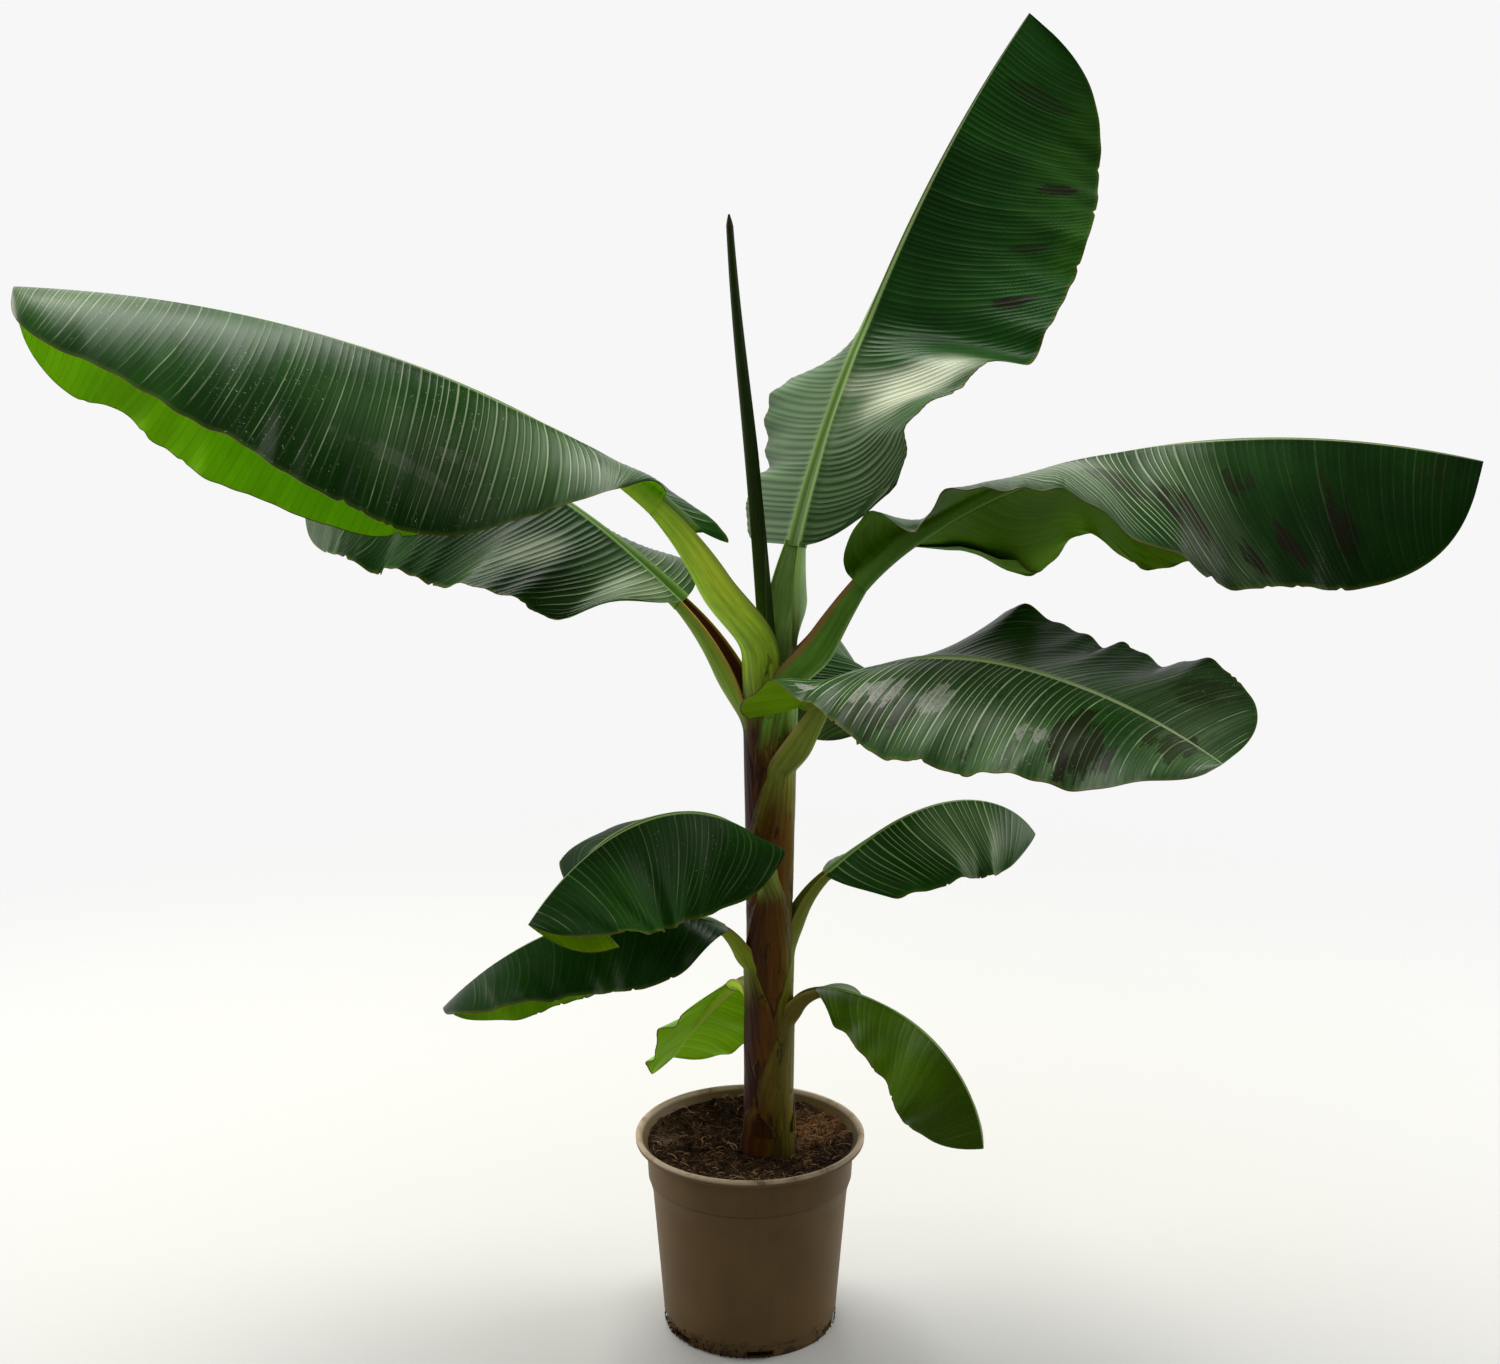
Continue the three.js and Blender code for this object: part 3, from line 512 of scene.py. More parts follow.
def bladePiece(leaf, number):
    chance = np.random.default_rng(blade["seed"] + number)
    line = leafLine(leaf)
    rows = round(leaf["blade"] / leaf["veinPitch"] * blade["rowsToVein"])
    tipRows = 1 - blade["tipShare"] * np.linspace(1, 0, blade["tipRows"]) ** 2
    alongs = np.concatenate([np.linspace(0, 1 - blade["tipShare"], rows, endpoint=False), tipRows])
    half = np.linspace(0, 1, blade["columns"] + 1) ** blade["columnsToRib"]
    along, across = np.meshgrid(alongs, np.concatenate([-half[:0:-1], half]), indexing="ij")
    side = np.where(across < 0, -1.0, 1.0)
    onRight = side < 0
    out = np.abs(across)

    # the surface: a line out from the midrib that hangs, curls and waves
    lean = np.where(onRight, leaf["rightFoot"], leaf["leftFoot"])
    lean = mix(lean, blade["tipVein"], along ** blade["leanPower"])
    if leaf["leftVeins"]:  # a left half whose veins lean by keys of their own
        lean = np.where(onRight, lean, easedKeys(leaf["leftVeins"], along))
    share = 1 - (1 - along) * (1 - lean * out ** np.where(lean < 0, leaf["footPower"], 2))
    point, flatLeft, flatUp = lineAt(line, share * leaf["blade"] + blade["seat"])
    roll = np.radians(leaf["roll"] + leaf["twist"] * share)[..., None]
    left = flatLeft * np.cos(roll) + flatUp * np.sin(roll)
    up = flatUp * np.cos(roll) - flatLeft * np.sin(roll)
    reach = leaf["width"] / 2 * widthShare(share, np.where(onRight, leaf["rightBase"], leaf["leftBase"]))
    lobe = np.sqrt(1 - (1 - np.clip(along / blade["lobeRound"], 0, 1)) ** 2)
    reach = reach * mix(blade["lobeWidth"], 1, lobe)
    for spot in chance.uniform(*blade["nickRange"], (2, blade["nicks"])).T:
        for nickSide, place in zip((True, False), spot):
            notch = np.clip(1 - np.abs(share - place) / blade["nickWidth"], 0, 1) * (onRight == nickSide)
            reach = reach * (1 - chance.uniform(*blade["nickDepth"]) * notch * out ** blade["nickPower"])
    hang = np.radians(np.where(onRight, easedKeys(leaf["right"], share), easedKeys(leaf["left"], share)))
    curl = np.radians(np.where(onRight, leaf["rightCurl"], leaf["leftCurl"]))
    tilt = hang + curl * out
    sideways = (np.sin(tilt) - np.sin(hang)) / curl * reach * side
    drop = (np.cos(hang) - np.cos(tilt)) / curl * reach
    normal = up * np.cos(tilt)[..., None] + left * (side * np.sin(tilt))[..., None]
    height, count, begin = leaf["wave"]
    growth = np.minimum(1, share * blade["waveGrowth"] + blade["waveAtBase"])
    fade = np.minimum(1, (1 - share) * blade["waveLoss"]) * growth
    phase = count * share + begin + blade["rightWaveShift"] * onRight
    wave = height * out ** blade["wavePower"] * np.sin(2 * pi * phase)
    for perMetre in blade["ripplePerMetre"]:
        shift = chance.uniform(0, 1, 2)
        turns = perMetre * leaf["blade"] * share + np.where(onRight, shift[0], shift[1])
        wave = wave + blade["ripple"] * out ** blade["ripplePower"] * np.sin(2 * pi * turns)
    wave = wave * fade
    for foldSide, middle, spread, lift in leaf["folds"]:
        fold = lift * out ** blade["foldPower"] * np.exp(-((share - middle) / spread) ** 2)
        wave = wave + fold * (onRight == (foldSide == "right"))
    point = point + left * sideways[..., None] - up * drop[..., None] + normal * wave[..., None]

    # pleats, the midrib's groove above and its rounded back below
    distance = reach * out
    ribHalf = stalkTip(leaf) * mix(1, blade["ribTip"], np.clip(share, 0, 1) ** blade["ribTaper"])
    ribHalf = ribHalf * leaf["ribWide"]
    fromRib = distance / ribHalf
    bend = smooth(distance / blade["foldRound"])[..., None]
    face = up * (1 - bend) + normal * bend
    face = face / np.linalg.norm(face, axis=-1, keepdims=True)
    veinPlace = along * leaf["blade"]
    for length, drift in blade["veinDrift"]:  # veins stand closer here and wider there
        sway = np.sin(2 * pi * along * leaf["blade"] / length + number)
        veinPlace = veinPlace + leaf["veinPitch"] * drift * sway
    ridge = blade["pleatMiddle"] - np.abs(np.sin(pi * veinPlace / leaf["veinPitch"]))
    pleat = mix(blade["basePleat"], blade["tipPleat"], smooth(share * 2)) * ridge
    pleat = pleat * smooth(fromRib / 2 - blade["pleatStart"])  # none on the midrib
    pleat = pleat * leaf["pleat"] * (1 - blade["pleatLoss"] * out)
    pleat = pleat * np.minimum(1, (1 - share) * blade["pleatEnd"])
    groove = blade["ribLip"] * np.exp(-((fromRib - 1) / blade["lipSpread"]) ** 2)
    groove = groove - blade["ribGroove"] * np.exp(-(fromRib / blade["grooveSpread"]) ** 2)
    back = np.sqrt(np.clip(1 - (fromRib / blade["ribBack"]) ** 2, 0, 1))
    ribDepth = stalkTip(leaf) * stalk["depthShare"] * blade["ribDepth"]
    ribDepth = ribDepth * np.clip(1 - share, 0, 1) ** blade["depthTaper"]
    skin = blade["thickness"] / 2
    upper = point + face * (skin + pleat + groove * ribHalf)[..., None]
    lower = point - face * (skin - pleat + back * ribDepth)[..., None]

    points, quads, slots = shell(upper, lower)
    veins = np.stack([veinPlace, distance * side, reach * (1 - out)], -1).reshape(-1, 3)
    places = {"veins": np.tile(veins, (2, 1)), "rib": np.tile(fromRib.ravel(), 2)}
    return meshPiece("leaf_" + leaf["name"], points, quads, slots, places)


leafColours = {
    "paleVein": (0.42, 0.50, 0.30), "stain": (0.014, 0.010, 0.005), "dust": (0.34, 0.34, 0.30),
    # paintedSheen, glare and lit are painted light on the blade; shade is painted shade
    "paintedSheen": (0.12, 0.19, 0.085), "glare": (0.66, 0.71, 0.52), "lit": (0.035, 0.13, 0.002),
    "shade": (0.003, 0.014, 0.002), "ribTip": (0.34, 0.42, 0.20), "ribEdge": (0.15, 0.26, 0.06),
    "margin": (0.10, 0.06, 0.02), "marginBand": (0.10, 0.17, 0.01),
}


def perStrip(phase):  # a random value for each whole step of the phase
    whole = phase.calc("FLOOR", phase)
    return phase.add("ShaderNodeTexWhiteNoise", {"noise_dimensions": "1D"}, {"W": whole})


def veinPattern(wire, leaf):
    veins = attribute(wire, "veins")
    phase = veins.parts()[0] / leaf["veinPitch"]
    near = wire.calc("PINGPONG", phase, 0.5)  # 0 on a vein, 0.5 between two
    return veins, phase, near, perStrip(phase)


def spotMask(wire, along, across, spot, cloudy):
    middle, offset, length, width, strength = spot
    ahead, aside = (along - middle) / length, (across - offset) / width
    apart = wire.calc("SQRT", ahead * ahead + aside * aside) + cloudy
    return 1 - apart.step(0.4, 1.25), strength


def bladeUpperFinish(leaf, number):
    material, wire, shader = newFinish("leafUpper_" + leaf["name"], specular=leaf["shine"])
    veins, phase, near, strip = veinPattern(wire, leaf)
    own = perStrip(phase + 0.5)  # each vein's own strength
    along, across, margin = veins.parts()
    rib = attribute(wire, "rib", "Fac")
    place = objectPlace(wire).shifted((number * 3.1, 0, 0))
    patches = place.noise(7, 3)
    colour = patches.step(0.35, 0.65).blend(*tones(leaf["green"], 0.75, 1.35))
    colour = colour.shade(strip * 0.24 + 0.88)
    fine = wire.calc("PINGPONG", along / blade["finePitch"], 0.5)
    colour = colour.shade(fine * 0.5 + 0.87)
    colour = colour.shade(place.noise(500, 2) * 0.6 + 0.7)
    # painted light and shade: soft painted sheen, glare highlights, lit and shaded patches, broken by the
    # pleats
    cloudy = place.noise(9, 3) * 0.8 - 0.4
    broken = (near * 1.7 + 0.15) * (strip * 0.4 + 0.6)
    lineBreak = veins.scaled((60, 25, 0)).noise(1, 3).step(0.3, 0.6) * place.noise(5, 2).step(0.3, 0.6)
    lineShow = (lineBreak * 0.75 + 0.25) * (own * own * 0.92 + 0.08) * leaf["vein"] * 1.2
    for kind, *spot in leaf["lights"]:
        mask, strength = spotMask(wire, along, across, spot, cloudy)
        if kind == "veined":
            lineShow = wire.calc("MAXIMUM", lineShow, mask * (own * 0.5 + 0.5) * strength)
            continue
        texture = broken if kind == "paintedSheen" else broken * 0.5 + 0.5
        colour = (mask * texture * strength).blend(colour, leafColours[kind])
    # pale vein lines, faint in places
    veinLine = (1 - near.step(*blade["veinLine"])) * margin.step(0, 0.025)
    colour = (veinLine * lineShow).blend(colour, leafColours["paleVein"])
    # stains and dust, blocky between the veins
    ragged = veins.scaled((120, 24, 0)).shifted((number, 0, 0)).noise(1, 6, 0.7) + (strip - 0.5) * 0.25
    speckle = place.noise(350, 3).step(0.30, 0.60) * 0.6 + 0.4
    if leaf["blotch"]:
        stain = ragged.step(0.60, 0.63) * place.noise(6, 2).step(0.45, 0.55) * leaf["blotch"]
        colour = stain.blend(colour, leafColours["stain"])
    for kind, *spot in leaf["marks"]:
        mask, strength = spotMask(wire, along, across, spot, cloudy)
        crisp = (mask * 0.3 + ragged).step(0.66, 0.70) * mask.step(0, 0.2) * (1 - veinLine * 0.6)
        crisp = crisp * speckle if kind == "dust" else crisp
        colour = (crisp * strength).blend(colour, leafColours[kind])
    specks = place.noise(330, 2, 0.6).step(0.67, 0.72) * place.noise(12, 2).step(0.40, 0.62)
    colour = (specks * leaf["residue"]).blend(colour, leafColours["dust"])
    colour = ((1 - margin.step(0.001, 0.006)) * 0.35).blend(colour, leafColours["marginBand"])
    colour = (1 - margin.step(0.0004, 0.0015)).blend(colour, leafColours["margin"])
    ribEdge = (along / leaf["blade"]).step(0.1, 0.9).blend(leafColours["ribEdge"], leafColours["ribTip"])
    midrib = rib.step(0.15, 0.8).blend(leaf["rib"], ribEdge)
    colour = (1 - rib.step(0.95, 1.25)).blend(colour, midrib)
    colour.feed(shader, "Base Color")
    (patches * 0.16 + (leaf["gloss"] - 0.08)).feed(shader, "Roughness")
    emboss(wire, shader, veinLine * 0.5 + fine * 0.5 + place.noise(160, 3) * 0.4, 0.3, 0.0005)
    return material


def bladeUnderFinish(leaf, number):
    material, wire, shader = newFinish("leafUnder_" + leaf["name"], specular=0.03)
    veins, _, near, strip = veinPattern(wire, leaf)
    margin = veins.parts()[2]
    rib = attribute(wire, "rib", "Fac")
    place = objectPlace(wire).shifted((number * 2.3, 0, 0))
    patches = place.noise(6, 3)
    # the underside's paler green, brightened with painted light shining through the blade
    colour = patches.step(0.3, 0.7).blend(*tones(leaf["under"], 0.82, 1.15))
    colour = colour.shade(strip * 0.16 + 0.92)
    veinLine = 1 - near.step(*blade["veinLine"])
    colour = (veinLine * 0.3).blend(colour, tones(leaf["under"], leaf["underVein"])[0])
    colour = (1 - margin.step(0.0004, 0.0016)).blend(colour, leafColours["margin"])
    colour = (1 - rib.step(1.05, 1.3)).blend(colour, leaf["stalk"])
    colour.feed(shader, "Base Color")
    (patches * 0.2 + 0.45).feed(shader, "Roughness")
    emboss(wire, shader, veinLine + place.noise(200, 3) * 0.4, 0.3, 0.0005)
    return material


for number, leaf in enumerate(leaves):
    piece = bladePiece(leaf, number)
    finishes = [bladeUpperFinish(leaf, number), bladeUnderFinish(leaf, number)]
    dress(piece, "blade", finishes, "blade_" + leaf["name"])
print("blades:", len(leaves))


# Petioles: a sheath wrapped on the stem that narrows upwards into a deeply channelled stalk

def petiolePiece(leaf, number):
    chance = np.random.default_rng(stalk["seed"] + number)
    line = leafLine(leaf)
    foot = -leaf["petiole"] - leaf["sheath"]
    rows = round((leaf["petiole"] + leaf["sheath"]) / stalk["rowPitch"])
    distance, across = np.meshgrid(np.linspace(foot, stalk["intoBlade"], rows),
                                   np.linspace(-1, 1, stalk["columns"] + 1), indexing="ij")
    point, left, up = lineAt(line, distance)
    climbed = np.clip(1 + distance / leaf["petiole"], 0, 1)
    opened = smooth(climbed / stalk["sleeveEnd"])
    below = np.clip(-(distance + leaf["petiole"]) / leaf["sheath"], 0, 1)
    stemHere = stemRadius(np.minimum(point[..., 2], leaf["attach"]))
    (coarse, coarseRate), (fine, fineRate) = stalk["ragged"]
    raggedness = coarse * np.sin(distance * coarseRate + chance.uniform(0, 6))
    raggedness = raggedness + fine * np.sin(distance * fineRate)
    span = np.radians(mix(leaf["span"], stalk["sheathSpan"], below ** stalk["sheathPower"]))
    span = span * (1 + raggedness * below)
    wall = mix(stalk["wall"], stalk["footWall"], below)
    wall = wall * (1 - stalk["thinEdge"] * np.abs(across) ** stalk["thinPower"])
    inward = stemHere * stalk["startDepth"]
    tip = stalkTip(leaf)
    width = mix(min(stalk["footWidth"], tip * stalk["spread"]), tip, climbed)
    depth = width * stalk["depthShare"]
    rim = depth * mix(stalk["footRim"], stalk["tipRim"], climbed)
    (tall, tallCount), (low, lowCount) = stalk["fibres"]
    sway, swayRate = stalk["fibreSway"]
    fibres = tall * np.sin(across * tallCount + sway * np.sin(distance * swayRate))
    fibres = fibres + low * np.sin(across * lowCount)

    def skin(outside):
        radius = stemHere + leaf["wrap"] + (wall + fibres if outside else -stalk["innerGap"])
        half = width if outside else width - stalk["edge"]
        deep = depth + fibres if outside else depth * (1 - stalk["channelFloor"])
        around, turned = across * span, across * pi / 2
        sideways = mix(np.sin(around) * radius, np.sin(turned) * half, opened)
        lift = mix(inward - np.cos(around) * radius, rim - np.cos(turned) * deep, opened)
        return point + left * sideways[..., None] + up * lift[..., None]

    points, quads, slots = shell(skin(False), skin(True))
    stalkPlace = np.stack([distance, across, climbed - below], -1).reshape(-1, 3)
    places = {"stalkPlace": np.tile(stalkPlace, (2, 1))}
    return meshPiece("stalk_" + leaf["name"], points, quads, slots, places, sharp=60)


bark = {
    "shade": (0.028, 0.006, 0.002), "brown": (0.112, 0.040, 0.004), "olive": (0.115, 0.092, 0.007),
    "grimeAndShadow": (0.016, 0.008, 0.004), "dryEdge": (0.13, 0.065, 0.025), "scar": (0.02, 0.012, 0.008),
    "blot": (0.018, 0.010, 0.007), "crown": (0.13, 0.16, 0.02), "footDark": (0.022, 0.013, 0.009),
    "lit": (0.76, 0.92, 0.06),
    "turnPerMetre": 34, "oliveHeight": 0.40, "crownHeight": (0.68, 0.77), "footDarkHeight": (0.205, 0.27),
}


def barkColour(wire, number):
    # painted shade at the far left, red-brown on the left, olive on the right of the stem, more so near its
    # foot
    place = objectPlace(wire).shifted((-stem["x"], 0, 0))
    across, _, height = place.parts()
    grain = place.shifted((0, 0, number))  # each piece's own part of the pattern
    broad = grain.scaled((30, 30, 3.5)).noise(1, 2)
    turned = across * bark["turnPerMetre"] + broad * 1.4 - 0.7
    colour = turned.step(-0.9, 0.2).blend(bark["shade"], bark["brown"])
    colour = (turned + (bark["oliveHeight"] - height) * 2).step(0.1, 0.9).blend(colour, bark["olive"])
    lines = grain.scaled((150, 150, 7)).noise(1, 4, 0.65).step(0.54, 0.66)
    dried = grain.scaled((60, 60, 16)).noise(1, 5, 0.7).step(0.56, 0.62)
    return wire.calc("MAXIMUM", lines * 0.6, dried * 0.8).blend(colour, bark["grimeAndShadow"])


def stalkFinish(leaf, number, inner):
    material, wire, shader = newFinish(("stalkInside_" if inner else "stalk_") + leaf["name"], specular=0.09)
    stalkPlace = attribute(wire, "stalkPlace")
    _, across, climb = stalkPlace.parts()
    toMargin = wire.calc("ABSOLUTE", across)
    streaks = stalkPlace.scaled((14, 9, 0)).shifted((number * 5.0, 0, 0)).noise(1, 4, 0.6)
    mottle = objectPlace(wire).shifted((number, 0, 0)).noise(60, 4, 0.6)
    colour = (climb + streaks * 0.5 - 0.25).step(*leaf["browned"]).blend(
        barkColour(wire, number), leaf["inside"] if inner else leaf["stalk"])
    colour = colour.shade(streaks * 1.2 + 0.4)
    colour = colour.shade(mottle * 0.4 + 0.8)
    if leaf["glow"]:  # light that comes through the thin upper wall
        # painted light: a bright lime patch on the stalk's upper side stands for light shining through its
        # thin wall
        lit = toMargin.step(0.35, 0.75) * climb.step(0.1, 0.5) * (1 - climb.step(0.65, 0.95))
        colour = (lit * streaks.step(0.2, 0.7) * leaf["glow"]).blend(colour, bark["lit"])
    edge = toMargin.step(0.80, 0.99) * climb.step(-0.1, 0.4)
    colour = (edge * 0.8).blend(colour, leaf["stalkEdge"])
    # painted shadow: darker along the sheath's margins below the knee, where one sheath lies over another
    shadow = toMargin.step(0.86, 0.97) * (1 - climb.step(-0.1, 0.4))
    colour = (shadow * 0.75).blend(colour, bark["grimeAndShadow"])
    dryEdge = toMargin.step(0.97, 0.99) * (1 - climb.step(0.2, 0.7))
    colour = (dryEdge * 0.7).blend(colour, bark["dryEdge"])
    scars = objectPlace(wire).scaled((1, 1, 0.35)).shifted((0, number, 0)).noise(85, 4, 0.7).step(0.6, 0.66)
    colour = (scars * (1 - climb.step(-0.2, 0.3)) * 0.8).blend(colour, bark["scar"])
    colour.feed(shader, "Base Color")
    (streaks * 0.2 + 0.36).feed(shader, "Roughness")
    emboss(wire, shader, streaks + mottle * 0.4, 0.3, 0.0006)
    return material


for number, leaf in enumerate(leaves):
    piece = petiolePiece(leaf, number)
    finishes = [stalkFinish(leaf, number, True), stalkFinish(leaf, number, False)]
    dress(piece, "petiole", finishes, "petiole_" + leaf["name"])
print("petioles:", len(leaves))


# Pseudostem: a flared foot, flutes and fine ridges along it, a rounded crown

def stemPiece():
    turn, height = np.meshgrid(np.linspace(0, 2 * pi, stem["sides"], endpoint=False),
                               np.linspace(stem["foot"], stem["top"], stem["rows"]))
    crown = mix(stem["crownEnd"], 1, np.sqrt(np.clip((stem["top"] - height) / stem["crownRound"], 0, 1)))
    flute = 1 - stem["flute"] * (1 + np.cos(2 * turn - stem["fluteTurn"] * height))
    sway, swayRate = stem["ridgeSway"]
    ridges = stem["ridgeHeight"] * np.sin(stem["ridges"] * turn + sway * np.sin(height * swayRate))
    around, twist, climb = stem["lumpRates"]
    lumps = stem["lumpHeight"] * np.sin(around * turn + height * twist) * np.sin(height * climb)
    radius = stemRadius(height) * crown * flute + (ridges + lumps) * crown
    rings = np.stack([stem["x"] + radius * np.cos(turn), radius * np.sin(turn), height], -1)
    points, walls, caps = tube(rings)
    return meshPiece("trunk", points, [walls, caps], sharp=60)


def stemFinish():
    material, wire, shader = newFinish("sheathBark", specular=0.09)
    place = objectPlace(wire)
    height = place.parts()[2]
    streaks = place.scaled((95, 95, 5)).noise(1, 5, 0.6)
    colour = barkColour(wire, 0).shade(streaks * 1.3 + 0.35)
    blots = place.scaled((1, 1, 0.4)).noise(55, 5, 0.7).step(0.56, 0.64)
    colour = (blots * 0.75).blend(colour, bark["blot"])
    colour = height.step(*bark["crownHeight"]).blend(colour, bark["crown"])
    # darker towards the foot, just above the soil
    footDark = 1 - height.step(*bark["footDarkHeight"])
    colour = (footDark * 0.7).blend(colour, bark["footDark"])
    colour.feed(shader, "Base Color")
    (streaks * 0.25 + 0.33).feed(shader, "Roughness")
    emboss(wire, shader, streaks + blots * 0.3, 0.4, 0.0008)
    return material


dress(stemPiece(), "stem", [stemFinish()], "pseudostem")


# Spear: the rolled new leaf, its edge winding round it

spear = {
    "length": 0.495, "base": 0.0105, "tip": 0.004, "taper": 1.3, "tipRound": 40, "lean": 5.1, "azimuth": 180,
    "turns": 0.7, "edgeStart": 4.2, "edge": 0.0011, "edgeLoss": 0.5, "sway": 0.0025, "swayRate": 6,
    "rippleHeight": 0.00012, "ripples": 16, "rippleTwist": 9, "sides": 72, "rows": 200,
    "lowGreen": (0.030, 0.062, 0.010), "highGreen": (0.020, 0.038, 0.006),
    "paleEdge": (0.13, 0.20, 0.06), "dryTip": (0.05, 0.025, 0.012),
}


def spearPiece():
    turn, share = np.meshgrid(np.linspace(0, 2 * pi, spear["sides"], endpoint=False),
                              np.linspace(0, 1, spear["rows"]))
    wound = ((turn - 2 * pi * spear["turns"] * share - spear["edgeStart"]) % (2 * pi)) / (2 * pi)
    radius = mix(spear["base"], spear["tip"], share ** spear["taper"])
    radius = radius * np.sqrt(np.clip((1 - share) * spear["tipRound"], 0.1, 1))
    radius = radius + spear["edge"] * (wound - 1) * (1 - spear["edgeLoss"] * share)
    radius = radius + spear["rippleHeight"] * np.sin(turn * spear["ripples"] - share * spear["rippleTwist"])
    axis = np.array([stem["x"], 0, stem["top"]]) + heading(spear["azimuth"], 90 - spear["lean"]) * (
        share[..., None] * spear["length"])
    sway = spear["sway"] * np.sin(share * spear["swayRate"]) * share
    rings = axis + np.stack([radius * np.cos(turn) + sway, radius * np.sin(turn), np.zeros_like(turn)], -1)
    points, walls, caps = tube(rings)
    spearPlace = np.stack([share, wound, np.zeros_like(turn)], -1).reshape(-1, 3)
    spearPlace = np.concatenate([spearPlace, [[0, 0, 0], [1, 0, 0]]])  # the middles of both ends
    return meshPiece("rolledLeaf", points, [walls, caps], places={"spearPlace": spearPlace}, sharp=40)


def spearFinish():
    material, wire, shader = newFinish("rolledLeaf", specular=0.08)
    spearPlace = attribute(wire, "spearPlace")
    share, wound, _ = spearPlace.parts()
    veins = spearPlace.scaled((30, 26, 0)).noise(1, 4, 0.6)
    colour = share.step(0, 0.35).blend(spear["lowGreen"], spear["highGreen"])
    colour = colour.shade(veins * 0.9 + 0.55)
    colour = ((1 - wound.step(0.0, 0.05)) * 0.5).blend(colour, spear["paleEdge"])
    colour = (share + veins * 0.05).step(0.985, 1.01).blend(colour, spear["dryTip"])
    colour.feed(shader, "Base Color")
    (veins * 0.2 + 0.38).feed(shader, "Roughness")
    emboss(wire, shader, veins, 0.3, 0.0005)
    return material


dress(spearPiece(), "spear", [spearFinish()], "spear")
print("stem and spear")


# Geometry node trees

def newTree(name, sockets):
    tree = bpy.data.node_groups.new(name, "GeometryNodeTree")
    tree.interface.new_socket("Geometry", in_out="INPUT", socket_type="NodeSocketGeometry")
    ids = {label: tree.interface.new_socket(label, in_out="INPUT", socket_type=kind).identifier
           for label, kind in sockets.items()}
    tree.interface.new_socket("Geometry", in_out="OUTPUT", socket_type="NodeSocketGeometry")
    entry = {socket.name: Wire(tree, socket) for socket in tree.nodes.new("NodeGroupInput").outputs}
    return tree, ids, entry


def endTree(geometry, material):
    realized = geometry.add("GeometryNodeRealizeInstances", None, {"Geometry": geometry})
    painted = realized.add("GeometryNodeSetMaterial", None, {"Geometry": realized, "Material": material})
    painted.feed(geometry.tree.nodes.new("NodeGroupOutput"), "Geometry")


def grown(name, data, tree, ids, values):
    # runs a tree on a mesh or curve and keeps its result as a plain mesh
    source = bpy.data.objects.new(name + "_source", data)
    scene.collection.objects.link(source)
    modifier = source.modifiers.new(name, "NODES")
    modifier.node_group = tree
    for label, value in values.items():
        modifier[ids[label]] = value
    mesh = bpy.data.meshes.new_from_object(source.evaluated_get(bpy.context.evaluated_depsgraph_get()))
    mesh.name = name
    bpy.data.objects.remove(source)
    piece = bpy.data.objects.new(name, mesh)
    scene.collection.objects.link(piece)
    return piece


# Pot: a turned profile with a soft collar step, a flanged lip, a base ring and drain notches

pot = {
    "height": 0.240, "baseRadius": 0.102, "baseRingHeight": 0.016, "baseRingInset": 0.0020,
    "bodyTopRadius": 0.1155, "bodyTop": 0.172, "collarFoot": 0.188, "collarFootRadius": 0.1205,
    "collarTopRadius": 0.1225, "lipHeight": 0.008, "lipRadius": 0.1355, "lipInside": 0.1305,
    "funnelFoot": 0.226, "wall": 0.003, "floor": 0.006,
    "drains": 6, "drainWidth": 0.031, "drainHeight": 0.007, "drainDepth": 0.016, "drainMiddle": 0.0055,
    "drainTurn": 37, "sides": 192, "arcPoints": 6, "weld": 0.00002, "sharp": 40,
}

plastic = {
    "dark": (0.094, 0.054, 0.017), "light": (0.114, 0.068, 0.023), "scuffAndHighlight": (0.52, 0.40, 0.29),
    "line": (0.028, 0.016, 0.008), "splash": (0.020, 0.013, 0.009), "speck": (0.045, 0.028, 0.016),
    "notchShade": (0.008, 0.005, 0.003), "scuffAndHighlightHeight": (0.2345, 0.2385),
    "lineFoot": (0.1862, 0.1874), "lineTop": (0.1882, 0.1894), "splashHeight": (0.008, 0.035),
    "notchShadeRadius": (0.0955, 0.0985), "notchShadeHeight": (0.012, 0.014),
}


def rounded(corners):
    # a profile of (radius, height, rounding): each corner becomes a short arc
    made = []
    for before, corner, after in zip([corners[0]] + corners[:-1], corners, corners[1:] + [corners[-1]]):
        middle, size = np.array(corner[:2]), corner[2]
        if size == 0:
            made.append(middle)
            continue
        ends = [middle + (np.array(other[:2]) - middle) * size / np.hypot(*(np.array(other[:2]) - middle))
                for other in (before, after)]
        for share in np.linspace(0, 1, pot["arcPoints"]):
            made.append(mix(mix(ends[0], middle, share), mix(middle, ends[1], share), share))
    return np.array(made)


def bodyRadius(height):
    return mix(pot["baseRadius"], pot["bodyTopRadius"], height / pot["bodyTop"])


